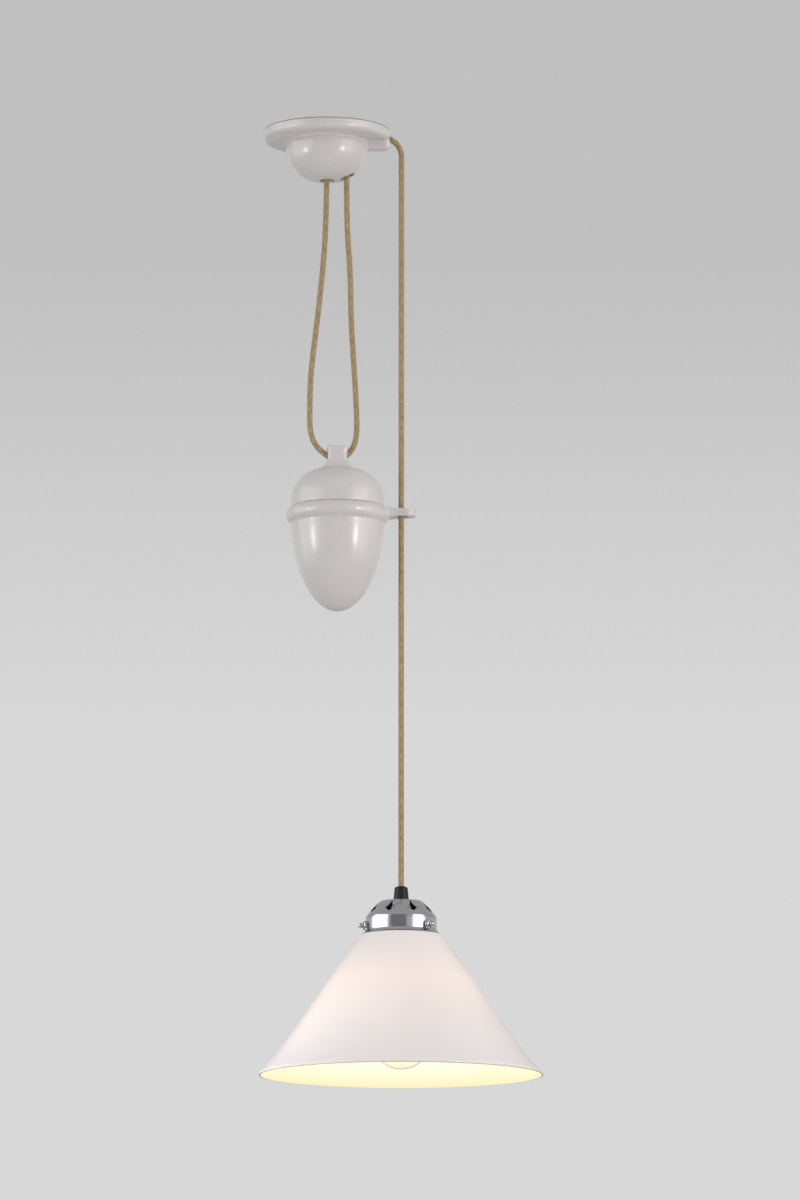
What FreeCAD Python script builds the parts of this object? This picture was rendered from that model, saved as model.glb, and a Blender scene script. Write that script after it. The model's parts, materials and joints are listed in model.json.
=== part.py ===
import FreeCAD, Part
import math
import os

# Rise and fall pendant. Millimetres, +Z up. The origin is the centre of the ceiling rose in the plane
# of the ceiling. The flex hangs in the plane Y = 0; the room is seen from -Y.

# ---- flex -------------------------------------------------------------------------------------------
cord_d = 6.2                 # braided three-core flex
core_d = 2.2                 # one insulated core
cord_clear = 0.3             # between the flex and a groove it runs in
cord_fit = 0.05              # between the flex and what clamps it
# The routes are lists of corners (x, z), chosen by eye. Straight runs join them, with an arc at each.
loop_route = [
    (0.0, -52.0), (-0.3, -112.0), (-7.7, -192.0), (-16.4, -262.0), (-17.8, -300.0), (-17.2, -341.4),
    (5.2, -361.4), (18.8, -361.4), (33.4, -344.0), (32.4, -298.0), (26.3, -208.0), (26.0, -158.0),
    (21.7, -104.0), (21.7, -50.0),
]
drop_route = [(61.2, -5.45), (72.9, -9.7), (80.9, -21.1), (80.5, -822.5)]

# ---- fits -------------------------------------------------------------------------------------------
pin_fit = 0.05               # radial, roller on pin and pin in cheek
thread_fit = 0.05            # radial, screw in its threaded hole
hole_clear = 0.2             # radial, screw in a clearance hole
seat_gap = 0.05              # between faces that rest on each other
run_gap = 0.3                # between faces that move past each other
past = 1.0                   # how far a cut starts or ends outside what it cuts

# ---- rose cover, glazed porcelain -------------------------------------------------------------------
rim_r = 69.0
rim_h = 12.0
rim_round = 5.5
dome_r = 44.0
dome_straight = 7.0          # cylindrical part of the dome below the rim
dome_depth = 36.8            # curved part of the dome
dome_shoulder = 36.0         # radius of the dome's outline at its side
dome_crest = 6.0             # rounding of the dome's upper edge under the rim
dome_crease = 60.0           # degrees at which that rounding meets the rim's underside
cover_wall = 4.0
strand_hole_r = 7.5
strand_hole_out = 0.6        # the two holes stand this far outside the flex's centre lines
duct_w = 17.0                # radial duct that carries the flex to the rim
duct_h = 9.3                 # below the rim's underside
duct_wall = 2.3
duct_round = 3.0
duct_inset = 0.2             # duct's end inside the rim's edge
exit_hole_r = 5.0

# ---- ceiling plate, pressed steel -------------------------------------------------------------------
plate_t = 1.5
plate_gap = 3.0              # all round, inside the cover
slot_spacing = 51.0
slot_len = 9.0
slot_r = 2.25
entry_x = -47.0
entry_r = 9.0
tab_w = 10.0
tab_drop = 7.0
tab_angles = (60.0, 120.0)   # both at the rear, where a room does not see the screws
cover_screw_r = 1.5
cover_screw_z = -4.4
cover_screw_inset = 0.5

# ---- pulleys in the rose ----------------------------------------------------------------------------
inner_groove_r = 5.5
inner_flange_r = 8.7
exit_groove_r = 4.0
exit_flange_r = 5.4
roller_w = 8.0
inner_pin_r = 2.0
exit_pin_r = 1.5
pin_head_r = 3.0
pin_head = 1.2
pin_tail = 1.2               # pin beyond its clip
clip_t = 0.8
clip_r = 3.6
clip_groove = 0.5
clip_gap = 1.8
bracket_t = 1.2
bracket_nose = 2.0           # bracket's front edge behind the inner pulley's rim
bracket_gap = 1.2            # to the pulley below it and to the dome's wall
bracket_end_gap = 1.5        # to the rim's wall
bracket_duct_gap = 1.0       # to the duct's floor
cheek_slant = 1.0
cheek_corner = (4.0, 6.0)    # bevel at the cheek's front, along and up
web_inset = (5.0, 0.5)       # web's ends inside the cheek's corners
foot_w = 10.0
foot_reach = 8.5
foot_places = (31.0, 51.0)   # x of the bracket's two pairs of feet
rivet_r = 1.6
rivet_head_r = 2.8
rivet_head_h = 1.2

# ---- flex clamp and terminals -----------------------------------------------------------------------
clamp_w = 18.0
clamp_top = -19.0
clamp_h = 7.0
clamp_foot = 12.0
clamp_screw_r = 1.5
clamp_screw_y = 6.0
sheath_end = -17.0           # where the braid is cut back and the cores come out
block_near = -18.0           # x of the terminal block's face towards the clamp
block_l = 18.0
block_w = 28.0
block_h = 14.5
way_pitch = 8.0
way_z = -8.0
insert_r = 2.4
insert_bore = 1.5
terminal_screw_r = 1.5
block_screw_r = 1.2
earth_x, earth_y = -14.0, 26.0
earth_screw_r = 2.0

# ---- counterweight ----------------------------------------------------------------------------------
weight_x = 12.3
neck_groove_r = 4.4
neck_flange_r = 6.2
neck_pin_r = 2.0
pin_skin = 2.5               # glaze and body left in front of the pin's blind hole
pin_short = 0.2              # pin inside its hole at each end
neck_up = 6.4                # neck top above the roller's axis
neck_half_w = 12.8
neck_waist = 11.2
neck_waist_down = 4.0
neck_base = 15.0
neck_depth = 19.0
neck_round = 2.2
neck_floor = 1.0             # below the flex in the fork
cap_inset = 0.7              # cap's rim inside the body's widest ring
cap_shoulder = 36.0
cap_skirt = 6.0
cap_down = 17.8              # cap's top below the roller's axis
shell_wall = 4.5
spigot_h = 5.0
band_r = 55.4
band_h = 17.6
band_up = 8.0                # band's widest ring below the cap
body_r = 50.3
body_depth = 104.9           # tip below the band's widest ring
arm_reach = 84.1             # end of the guide arm from the weight's axis
arm_w = 22.0
arm_t = 9.0
arm_round = 3.6
eye_reach = 69.7
eye_r = 6.0
seat_ring_t = 0.6
ledge_down = 12.0            # ledge below the band's widest ring
ledge_t = 4.0
ledge_r = 39.5
ledge_span = 76.0            # degrees of each of the two bayonet ledges
ballast_r = 38.0
ballast_up = 13.0            # ballast above the ledge's underside
ballast_lug_r = 43.0
ballast_lug_t = 5.0
ballast_gap = 2.0
ballast_h = 19.0             # below the ledge
tie_r = 3.0
tie_head_r = 5.5
tie_head_h = 2.6
tie_grip = 20.0              # thread engaged in the ballast

# ---- lamp: grip, nipple and gallery -----------------------------------------------------------------
lamp_x = 80.5
grip_h = 15.8
grip_top_r = 6.7
grip_r = 8.4
grip_step = 1.6
grip_cone = 6.0
nipple_r = 5.0
nipple_bore = 3.5
nipple_up = 8.0              # into the grip
grip_screw_r = 1.25
grip_screw_down = 5.0
gallery_t = 1.2
gallery_top_r = 21.6
gallery_cone_r = 35.2
gallery_cone_end = 14.1      # below the gallery's top
gallery_cone_bow = 0.8       # how far the cone's outline bulges
gallery_cone_lean = 40.0     # degrees above level that its lower end faces
gallery_round_bow = 0.7
gallery_band_r = 38.0
gallery_band_top = 20.4
gallery_band_end = 30.4
gallery_lip_r = 40.9
gallery_lip_bow = 0.5
gallery_h = 34.7
vents = 8
vent_top_out = 23.2          # a vent's narrow end, from the lamp's axis
vent_top_half = 0.7
vent_top_round = 0.4
vent_wing_out = 31.2         # its two points
vent_wing_half = 5.6
vent_flank_bow = 1.3
vent_foot_out = 34.5         # its rounded foot
vent_foot_half = 3.1
vent_foot_round = 2.0
nut_r = 8.0
nut_h = 3.0
washer_r = 8.5
washer_t = 0.8
thumb_down = 27.4            # thumbscrews below the gallery's top
thumb_angles = (-43.0, -163.0, 77.0)
thumb_r = 1.9
thumb_ball_r = 2.7
thumb_ball_out = 44.5
thumb_neck_r = 1.3
boss_r = 3.1
boss_out = 39.9

# ---- lamp: shade ------------------------------------------------------------------------------------
shade_wall = 2.5
shade_bead_r = 35.9
shade_bead_h = 3.4
shade_bead_round = 1.0
shade_bead_down = 18.5       # below the gallery's top
shade_neck_r = 33.4
shade_shoulder_gap = 0.5     # shoulder below the gallery's lip
shade_fillet = 2.6
shade_slope = 0.696          # radius gained per millimetre of drop
shade_cone_r = 121.0
shade_cone_top_r = 42.7
shade_rim_r = 150.2
shade_flare_h = 35.5
shade_ring_t = 2.0
shade_ring_w = 1.4

# ---- lamp: holder and bulb --------------------------------------------------------------------------
holder_r = 19.5
holder_cap_h = 21.0
holder_neck_r = 8.0
holder_wall = 2.2
holder_h = 38.0
insert_t = 8.0
post_r = 2.1
post_up = 3.5
post_y = 9.0
post_hole = 1.5              # above the insert
socket_r = 13.5
socket_t = 0.4
socket_h = 26.0
contact_h = 2.5
bulb_r = 32.0
bulb_len = 142.0
bulb_cap_r = 13.1
bulb_cap_h = 24.0
bulb_cap_t = 0.5
bulb_tip_r = 4.8
bulb_tip_h = 1.2
bulb_insulator_h = 4.5
bulb_neck_r = 13.0
bulb_neck_h = 6.0
bulb_glass_t = 0.8
stem_r = 4.0
stem_h = 52.0
filament_r = 0.9
filament_l = 46.0
filament_ring = 9.0
wire_r = 0.35
filaments = 4

# ---- worked out from the sizes above ----------------------------------------------------------------
cord_r = cord_d / 2
dome_top = -(rim_h + dome_straight)
dome_bottom = dome_top - dome_depth
# the dome's flat bottom arc touches its shoulder arc
dome_flat = ((dome_r**2 + dome_depth**2 - 2 * dome_r * dome_shoulder)
             / (2 * (dome_depth - dome_shoulder)))
duct_floor = -(rim_h + duct_h)
exit_slope = math.atan2(drop_route[0][1] - drop_route[1][1], drop_route[1][0] - drop_route[0][0])
exit_pitch = exit_groove_r + cord_clear + cord_r
exit_axis = (drop_route[0][0] - exit_pitch * math.sin(exit_slope),
             drop_route[0][1] - exit_pitch * math.cos(exit_slope))
inner_pitch = inner_groove_r + cord_clear + cord_r
inner_axis = (loop_route[-1][0] + inner_pitch, exit_axis[1] + exit_pitch - inner_pitch)
fork_w = roller_w + 2 * run_gap
cheek_out = fork_w / 2 + bracket_t
under_plate = -plate_t
feet_z = under_plate - bracket_t
loop_low = min(z for _, z in loop_route)
neck_axis_z = loop_low + cord_r + cord_clear + neck_groove_r
cap_r = body_r - cap_inset
cap_top = neck_axis_z - cap_down
cap_rim = cap_top - cap_shoulder - cap_skirt
band_z = cap_rim - band_up
body_top = cap_rim - seat_ring_t - 2 * seat_gap
body_bore = body_r - shell_wall
ledge_z = band_z - ledge_down
fork_floor = loop_low - cord_r - neck_floor
grip_top = drop_route[-1][1]
gallery_top = grip_top - grip_h
gallery_lip = gallery_top - gallery_h
thumb_z = gallery_top - thumb_down
shade_top = gallery_top - shade_bead_down
shade_shoulder = gallery_lip - shade_shoulder_gap
shade_cone_end = shade_shoulder - (shade_cone_r - shade_cone_top_r) / shade_slope
shade_rim = shade_cone_end - shade_flare_h
nut_bottom = gallery_top - gallery_t - washer_t - nut_h - 2 * seat_gap
holder_top = nut_bottom - seat_gap
lamp_sheath_end = holder_top - 3
holder_split = holder_top - holder_cap_h
insert_bottom = holder_split - seat_gap - insert_t
bulb_tip_z = insert_bottom - contact_h - seat_gap
bulb_bottom = bulb_tip_z - bulb_len


# ---- small tools ------------------------------------------------------------------------------------
def at(point):
    """A point (r, z) of a half outline as a vector in the plane Y = 0."""
    return FreeCAD.Vector(point[0], 0, point[1])


def polar(centre, radius, degrees):
    """The point at that angle on a circle, both as (r, z)."""
    angle = math.radians(degrees)
    return (centre[0] + radius * math.cos(angle), centre[1] + radius * math.sin(angle))


def bowed(a, b, sag):
    """The middle of an arc from a to b that stands sag off their chord, on its left."""
    run, rise = b[0] - a[0], b[1] - a[1]
    length = math.hypot(run, rise)
    return ((a[0] + b[0]) / 2 - rise / length * sag, (a[1] + b[1]) / 2 + run / length * sag)


def outline(*steps):
    """A closed face in the plane Y = 0. A step is a point, or (point on the arc, end of the arc)."""
    here = steps[0]
    edges = []
    for step in steps[1:] + (steps[0],):
        if isinstance(step[0], tuple):
            edges.append(Part.Arc(at(here), at(step[0]), at(step[1])).toShape())
            here = step[1]
        elif at(step).distanceToPoint(at(here)) > 1e-6:
            edges.append(Part.LineSegment(at(here), at(step)).toShape())
            here = step
    return Part.Face(Part.Wire(edges))


def turned(x, *steps):
    """The solid that an outline makes when it is turned about the upright axis at x."""
    solid = outline(*steps).revolve(FreeCAD.Vector(), FreeCAD.Vector(0, 0, 1), 360)
    solid.translate(FreeCAD.Vector(x, 0, 0))
    return solid


def block(x0, x1, y0, y1, z0, z1):
    """A box between those planes."""
    return Part.makeBox(x1 - x0, y1 - y0, z1 - z0, FreeCAD.Vector(x0, y0, z0))


def rod(radius, start, end):
    """A round bar between two points."""
    a, b = FreeCAD.Vector(*start), FreeCAD.Vector(*end)
    return Part.makeCylinder(radius, a.distanceToPoint(b), a, b - a)


def tube(outer, inner, start, end):
    """A round pipe between two points."""
    return rod(outer, start, end).cut(rod(inner, start, end))


def around(shape, x, degrees):
    """A copy turned about the upright axis at x."""
    copy = shape.copy()
    copy.rotate(FreeCAD.Vector(x, 0, 0), FreeCAD.Vector(0, 0, 1), degrees)
    return copy


def group(shapes):
    """Separate solids in one node."""
    return Part.makeCompound([s for shape in shapes for s in shape.Solids])


def sector(x, radius, z0, z1, middle, span):
    """A wedge about the upright axis at x, span degrees wide, round the direction middle."""
    face = Part.Face(Part.Wire([
        Part.LineSegment(FreeCAD.Vector(), FreeCAD.Vector(*turn(radius, middle - span / 2), 0)).toShape(),
        Part.Arc(FreeCAD.Vector(*turn(radius, middle - span / 2), 0),
                 FreeCAD.Vector(*turn(radius, middle), 0),
                 FreeCAD.Vector(*turn(radius, middle + span / 2), 0)).toShape(),
        Part.LineSegment(FreeCAD.Vector(*turn(radius, middle + span / 2), 0), FreeCAD.Vector()).toShape(),
    ]))
    solid = face.extrude(FreeCAD.Vector(0, 0, z1 - z0))
    solid.translate(FreeCAD.Vector(x, 0, z0))
    return solid


def turn(radius, degrees):
    """The plan point (x, y) at that angle."""
    return (radius * math.cos(math.radians(degrees)), radius * math.sin(math.radians(degrees)))


# ---- flex -------------------------------------------------------------------------------------------
def bend_radius(a, b, c):
    """The arc at corner b of a route: as large as its shorter run allows."""
    half = (b - a).getAngle(c - b) / 2
    return 0.45 * min(a.distanceToPoint(b), b.distanceToPoint(c)) / math.tan(half)


def route_wire(corners):
    """Straight runs between the corners, joined by tangent arcs."""
    edges, here = [], corners[0]
    for a, b, c in zip(corners, corners[1:], corners[2:]):
        radius = bend_radius(a, b, c)
        into, out = (b - a).normalize(), (c - b).normalize()
        reach = radius * math.tan(into.getAngle(out) / 2)
        start, end = b - into * reach, b + out * reach
        inward = (out - into).normalize()
        sag = radius / math.cos(into.getAngle(out) / 2) - radius
        edges.append(Part.LineSegment(here, start).toShape())
        edges.append(Part.Arc(start, b + inward * sag, end).toShape())
        here = end
    edges.append(Part.LineSegment(here, corners[-1]).toShape())
    return Part.Wire(edges)


def swept(wire, radius):
    """A round tube along a wire."""
    start = wire.Edges[0]
    ring = Part.Wire(Part.Circle(start.valueAt(start.FirstParameter),
                                 start.tangentAt(start.FirstParameter), radius).toShape())
    return wire.makePipeShell([ring], True, False)


def flex(name, corners, radius):
    """A tube along a route; prints its arcs, its length and how well its volume fits."""
    wire = route_wire(corners)
    radii = [round(bend_radius(*three), 1) for three in zip(corners, corners[1:], corners[2:])]
    solid = swept(wire, radius)
    share = solid.Volume / (math.pi * radius**2 * wire.Length)
    print(name, "radii", radii, "length", round(wire.Length, 1), "volume share", round(share, 5))
    return solid


def cord_loop():
    return flex("cord_loop", [at(p) for p in loop_route], cord_r)


def cord_drop():
    return flex("cord_drop", [at(p) for p in drop_route], cord_r)


def cord_tail():
    """The anchored end of the flex, up through the left hole to the clamp."""
    x, z = loop_route[0]
    return rod(cord_r, (x, 0, z + seat_gap), (x, 0, sheath_end))


def cord_over_pulley():
    """The moving end inside the rose: up, over the inner pulley and over the exit roller."""
    x, z = loop_route[-1]
    top = (inner_axis[0], inner_axis[1] + inner_pitch)
    bend = (exit_axis[0], exit_axis[1] + exit_pitch)
    half_way = polar(exit_axis, exit_pitch, 90 - math.degrees(exit_slope) / 2)
    wire = Part.Wire([
        Part.LineSegment(at((x, z)), at((x, inner_axis[1]))).toShape(),
        Part.Arc(at((x, inner_axis[1])), at(polar(inner_axis, inner_pitch, 135)), at(top)).toShape(),
        Part.LineSegment(at(top), at(bend)).toShape(),
        Part.Arc(at(bend), at(half_way), at(drop_route[0])).toShape(),
    ])
    return swept(wire, cord_r)


def core(name, start, side):
    """One core from the cut sheath up and across to its terminal."""
    x, y = loop_route[0][0] + start[0], start[1]
    inside = block_near - 2.5
    corners = [FreeCAD.Vector(x, y, sheath_end), FreeCAD.Vector(x, y, way_z),
               FreeCAD.Vector(inside, 0, way_z)]
    if side:
        corners[1].z = way_z + core_d / 2
        corners[2:] = [FreeCAD.Vector(x - 8, y + side * 1.5, way_z + core_d / 2),
                       FreeCAD.Vector(block_near + 4, side * way_pitch, way_z),
                       FreeCAD.Vector(inside, side * way_pitch * 1.001, way_z)]
    return flex(name, corners, core_d / 2)


# ---- rose -------------------------------------------------------------------------------------------
def dome_face(inset):
    """Half outline of the cover from the ceiling down, moved inwards by inset."""
    shoulder, flat = (dome_r - dome_shoulder, dome_top), (0, dome_bottom + dome_flat)
    lean = math.degrees(math.atan2(flat[1] - shoulder[1], shoulder[0]))
    small, large = dome_shoulder - inset, dome_flat - inset
    rim_corner = (rim_r - rim_round, -(rim_h - rim_round))
    rim = rim_r - inset
    side = dome_r - inset
    under = -(rim_h - inset)
    steps = [(0, 0), (rim, 0)]
    if inset:
        steps += [(rim, under), (side, under)]
    else:
        crest = (side - dome_crest, under - dome_crest * math.sin(math.radians(dome_crease)))
        steps += [(rim, rim_corner[1]), (polar(rim_corner, rim_round, -45), (rim_corner[0], under)),
                  polar(crest, dome_crest, dome_crease),
                  (polar(crest, dome_crest, dome_crease / 2), (side, crest[1]))]
    steps += [(side, dome_top),
              (polar(shoulder, small, -lean / 2), polar(shoulder, small, -lean)),
              (polar(flat, large, -(lean + 90) / 2), (0, flat[1] - large))]
    return steps


def rose_cover():
    """Glazed shell: rim, dome with two holes for the flex, and the radial duct to the exit hole."""
    outer = turned(0, *dome_face(0))
    end = rim_r - duct_inset
    half, inside = duct_w / 2, duct_w / 2 - duct_wall
    duct = block(dome_r / 2, rim_r, -half, half, duct_floor, -rim_h / 2)
    duct = duct.common(rod(end, (0, 0, duct_floor), (0, 0, 0)))
    low = [e for e in duct.Edges if e.BoundBox.ZMax < duct_floor + 0.01 and e.BoundBox.XMax > dome_r]
    duct = duct.makeFillet(duct_round, low)
    hollow = turned(0, *dome_face(cover_wall))
    channel = block(dome_r / 2, end - duct_wall, -inside, inside, duct_floor + duct_wall, -rim_h / 2)
    channel = channel.common(rod(end - duct_wall, (0, 0, dome_bottom), (0, 0, 0)))
    shell = outer.fuse(duct).removeSplitter()
    for tool in (hollow, channel):
        shell = shell.cut(tool)
    for x in (loop_route[0][0] + strand_hole_out, loop_route[-1][0] + strand_hole_out):
        shell = shell.cut(rod(strand_hole_r, (x, 0, dome_bottom - past), (x, 0, dome_top)))
    wall_x = rim_r - cover_wall / 2
    hole_z = (drop_route[0][1] - (wall_x - drop_route[0][0]) * math.tan(exit_slope))
    shell = shell.cut(rod(exit_hole_r, (wall_x - cover_wall, 0, hole_z), (rim_r + past, 0, hole_z)))
    for angle in tab_angles:
        hole = radial_rod(cover_screw_r + hole_clear, dome_r, rim_r + past, cover_screw_z, angle)
        shell = shell.cut(hole)
    return shell


def radial_rod(radius, near, far, z, degrees):
    """A bar that points away from the rose's axis."""
    return rod(radius, (*turn(near, degrees), z), (*turn(far, degrees), z))


def ceiling_plate():
    """Pressed plate with two fixing slots, a cable hole, and two tabs that take the cover's screws."""
    inner = rim_r - cover_wall
    plate = rod(inner - plate_gap, (0, 0, under_plate), (0, 0, 0))
    tab_out = inner - 0.4
    for angle in tab_angles:
        arm = block(inner - plate_gap - 2, tab_out, -tab_w / 2, tab_w / 2, under_plate, 0)
        leg = block(tab_out - plate_t, tab_out, -tab_w / 2, tab_w / 2, -tab_drop, 0)
        plate = plate.fuse(around(arm.fuse(leg), 0, angle))
    for angle in tab_angles:
        plate = plate.cut(radial_rod(cover_screw_r + thread_fit, dome_r, rim_r, cover_screw_z, angle))
    for side in (-1, 1):
        y = side * slot_spacing / 2
        half = slot_len / 2 - slot_r
        slot = block(-slot_r, slot_r, y - half, y + half, under_plate, 0)
        for end in (y - half, y + half):
            slot = slot.fuse(rod(slot_r, (0, end, under_plate), (0, end, 0)))
        plate = plate.cut(slot)
    plate = plate.cut(rod(entry_r, (entry_x, 0, under_plate), (entry_x, 0, 0)))
    plate = plate.cut(rod(earth_screw_r + thread_fit, (earth_x, earth_y, under_plate), (earth_x, earth_y, 0)))
    for x, y in rivet_places():
        plate = plate.cut(rod(rivet_r + thread_fit, (x, y, under_plate), (x, y, 0)))
    for x, y in block_screw_places():
        plate = plate.cut(rod(block_screw_r + thread_fit, (x, y, under_plate), (x, y, 0)))
    return plate.removeSplitter()


def cover_screws():
    screws = []
    for angle in tab_angles:
        near, far = rim_r - cover_wall - 2 * plate_t, rim_r - cover_screw_inset
        screw = radial_rod(cover_screw_r, near, far, cover_screw_z, angle)
        socket = radial_rod(cover_screw_r / 2, far - cover_screw_r, far, cover_screw_z, angle)
        screws.append(screw.cut(socket))
    return group(screws)


def rivet_places():
    reach = cheek_out + foot_reach / 2
    feet = [(x, side * reach) for x in foot_places for side in (-1, 1)]
    return feet + [(clamp_leg_x() + clamp_foot * 0.6, 0)]


def bracket_rivets():
    rivets = []
    ball = (rivet_head_r**2 + rivet_head_h**2) / (2 * rivet_head_h)
    base = feet_z - seat_gap
    low = base - rivet_head_h
    for x, y in rivet_places():
        shank = rod(rivet_r, (x, y, base - rivet_head_h / 2), (x, y, -seat_gap))
        head = Part.makeSphere(ball, FreeCAD.Vector(x, y, low + ball))
        head = head.common(rod(rivet_head_r, (x, y, low), (x, y, base)))
        rivets.append(head.fuse(shank))
    return group(r.removeSplitter() for r in rivets)


def pulley_bracket():
    """Folded steel: two cheeks joined by a web under the inner pulley, with four feet on the plate."""
    left = inner_axis[0] - inner_flange_r + bracket_nose
    step = math.sqrt((dome_r - cover_wall)**2 - cheek_out**2) - bracket_gap
    right = rim_r - cover_wall - bracket_end_gap
    low = inner_axis[1] - inner_flange_r - bracket_gap - bracket_t
    duct_low = duct_floor + duct_wall + bracket_duct_gap
    end = step - cheek_slant
    side = outline((left, under_plate), (right, under_plate), (right, duct_low), (step, duct_low),
                   (end, low), (left + cheek_corner[0], low), (left, low + cheek_corner[1]))
    side.translate(FreeCAD.Vector(0, fork_w / 2, 0))
    cheek = side.extrude(FreeCAD.Vector(0, bracket_t, 0))
    for axis, radius in ((inner_axis, inner_pin_r), (exit_axis, exit_pin_r)):
        cheek = cheek.cut(rod(radius + pin_fit, (axis[0], 0, axis[1]), (axis[0], rim_r, axis[1])))
    for x in foot_places:
        foot = block(x - foot_w / 2, x + foot_w / 2, fork_w / 2, cheek_out + foot_reach, feet_z, under_plate)
        y = cheek_out + foot_reach / 2
        cheek = cheek.fuse(foot).cut(rod(rivet_r + thread_fit, (x, y, feet_z), (x, y, 0)))
    other = cheek.mirror(FreeCAD.Vector(), FreeCAD.Vector(0, 1, 0))
    web = block(left + web_inset[0], end - web_inset[1], -cheek_out, cheek_out, low, low + bracket_t)
    return cheek.fuse([other, web]).removeSplitter()


def roller(axis, groove_r, flange_r, bore_r):
    """A grooved roller about the axis along Y through (x, z)."""
    pitch = groove_r + cord_clear + cord_r
    hollow = cord_clear + cord_r
    half = math.sqrt(hollow**2 - (pitch - flange_r)**2)
    wide = roller_w / 2
    body = turned(0, (bore_r, -wide), (flange_r, -wide), (flange_r, -half),
                  ((groove_r, 0), (flange_r, half)), (flange_r, wide), (bore_r, wide))
    body.rotate(FreeCAD.Vector(), FreeCAD.Vector(1, 0, 0), 90)
    body.translate(FreeCAD.Vector(axis[0], 0, axis[1]))
    return body


def inner_pulley():
    return roller(inner_axis, inner_groove_r, inner_flange_r, inner_pin_r + pin_fit)


def exit_roller():
    return roller(exit_axis, exit_groove_r, exit_flange_r, exit_pin_r + pin_fit)


def inner_pulley_pin():
    """Headed pin, grooved at its other end for the clip."""
    x, z = inner_axis
    face = cheek_out + seat_gap
    pin = rod(inner_pin_r, (x, -face, z), (x, face + clip_t + pin_tail, z))
    pin = pin.fuse(rod(pin_head_r, (x, -face - pin_head, z), (x, -face, z)))
    return pin.cut(tube(pin_head_r, inner_pin_r - clip_groove, (x, face, z), (x, face + clip_t, z)))


def pin_clip():
    """Open ring in the pin's groove."""
    x, z = inner_axis
    near = cheek_out + 2 * seat_gap
    far = near + clip_t - 2 * seat_gap
    ring = tube(clip_r, inner_pin_r - clip_groove + pin_fit, (x, near, z), (x, far, z))
    return ring.cut(block(x - clip_gap / 2, x + clip_gap / 2, near, far, z, z + clip_r))


def exit_roller_pin():
    x, z = exit_axis
    half = cheek_out + 0.3
    return rod(exit_pin_r, (x, -half, z), (x, half, z))


def clamp_leg_x():
    return loop_route[0][0] + cord_r + cord_fit


def clamp_bracket():
    """Angle that hangs from the plate beside the anchored end of the flex."""
    x = clamp_leg_x()
    half = clamp_w / 2
    leg = block(x, x + bracket_t, -half, half, clamp_top - clamp_h, under_plate)
    foot = block(x, x + clamp_foot, -half, half, feet_z, under_plate)
    angle = leg.fuse(foot)
    for y in (-clamp_screw_y, clamp_screw_y):
        z = clamp_top - clamp_h / 2
        angle = angle.cut(rod(clamp_screw_r + thread_fit, (x, y, z), (x + bracket_t, y, z)))
    rivet_x, rivet_y = rivet_places()[-1]
    angle = angle.cut(rod(rivet_r + thread_fit, (rivet_x, rivet_y, feet_z), (rivet_x, rivet_y, 0)))
    return angle.removeSplitter()


def clamp_bar():
    x = loop_route[0][0] - cord_r - cord_fit
    bar = block(x - bracket_t, x, -clamp_w / 2, clamp_w / 2, clamp_top - clamp_h, clamp_top)
    for y in (-clamp_screw_y, clamp_screw_y):
        z = clamp_top - clamp_h / 2
        bar = bar.cut(rod(clamp_screw_r + hole_clear, (x - bracket_t, y, z), (x, y, z)))
    return bar


def clamp_screws():
    head = loop_route[0][0] - cord_r - cord_fit - bracket_t - seat_gap
    screws = []
    for y in (-clamp_screw_y, clamp_screw_y):
        z = clamp_top - clamp_h / 2
        screw = rod(clamp_screw_r, (head, y, z), (clamp_leg_x() + bracket_t + 1.5, y, z))
        screw = screw.fuse(rod(2 * clamp_screw_r, (head - 2, y, z), (head, y, z)))
        screws.append(screw.cut(block(head - 2, head - 1, y - 4, y + 4, z - 0.4, z + 0.4)))
    return group(screws)


def ways():
    return [side * way_pitch for side in (-1, 0, 1)]


def terminal_screw_places():
    return [(block_near - share * block_l, y) for share in (0.22, 0.78) for y in ways()]


def block_screw_places():
    return [(block_near - block_l / 2, side * way_pitch / 2) for side in (-1, 1)]


def terminal_block():
    """Three-way block under the plate."""
    top = under_plate - seat_gap
    body = block(block_near - block_l, block_near, -block_w / 2, block_w / 2, top - block_h, top)
    for y in ways():
        body = body.cut(rod(insert_r + thread_fit, (block_near - block_l, y, way_z), (block_near, y, way_z)))
    for x, y in terminal_screw_places():
        body = body.cut(rod(terminal_screw_r + hole_clear, (x, y, top - block_h), (x, y, way_z)))
    for x, y in block_screw_places():
        body = body.cut(rod(block_screw_r + hole_clear, (x, y, top - block_h), (x, y, top)))
        body = body.cut(rod(2 * block_screw_r - hole_clear, (x, y, top - block_h), (x, y, top - block_h + 3)))
    return body


def terminal_inserts():
    """Brass sleeves, each with a bore for the core and two screw holes."""
    sleeves = []
    for y in ways():
        start, end = (block_near - block_l + 1, y, way_z), (block_near - 1, y, way_z)
        sleeve = tube(insert_r, insert_bore, start, end)
        for x in {place[0] for place in terminal_screw_places()}:
            hole = rod(terminal_screw_r + thread_fit, (x, y, way_z - 2 * insert_r), (x, y, way_z))
            sleeve = sleeve.cut(hole)
        sleeves.append(sleeve)
    return group(sleeves)


def terminal_screws():
    bottom = under_plate - seat_gap - block_h
    screws = []
    for x, y in terminal_screw_places():
        screw = rod(terminal_screw_r, (x, y, bottom + 1), (x, y, way_z - core_d / 2 - seat_gap))
        screws.append(screw.cut(block(x - 3, x + 3, y - 0.35, y + 0.35, bottom, bottom + 1.8)))
    return group(screws)


def block_screws():
    bottom = under_plate - seat_gap - block_h
    screws = []
    for x, y in block_screw_places():
        screw = rod(block_screw_r, (x, y, bottom + 3 - seat_gap), (x, y, -seat_gap))
        head = rod(2 * block_screw_r - 2 * hole_clear, (x, y, bottom + 1.2), (x, y, bottom + 3 - seat_gap))
        screws.append(screw.fuse(head).cut(block(x - 3, x + 3, y - 0.3, y + 0.3, bottom, bottom + 2)))
    return group(screws)


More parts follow.
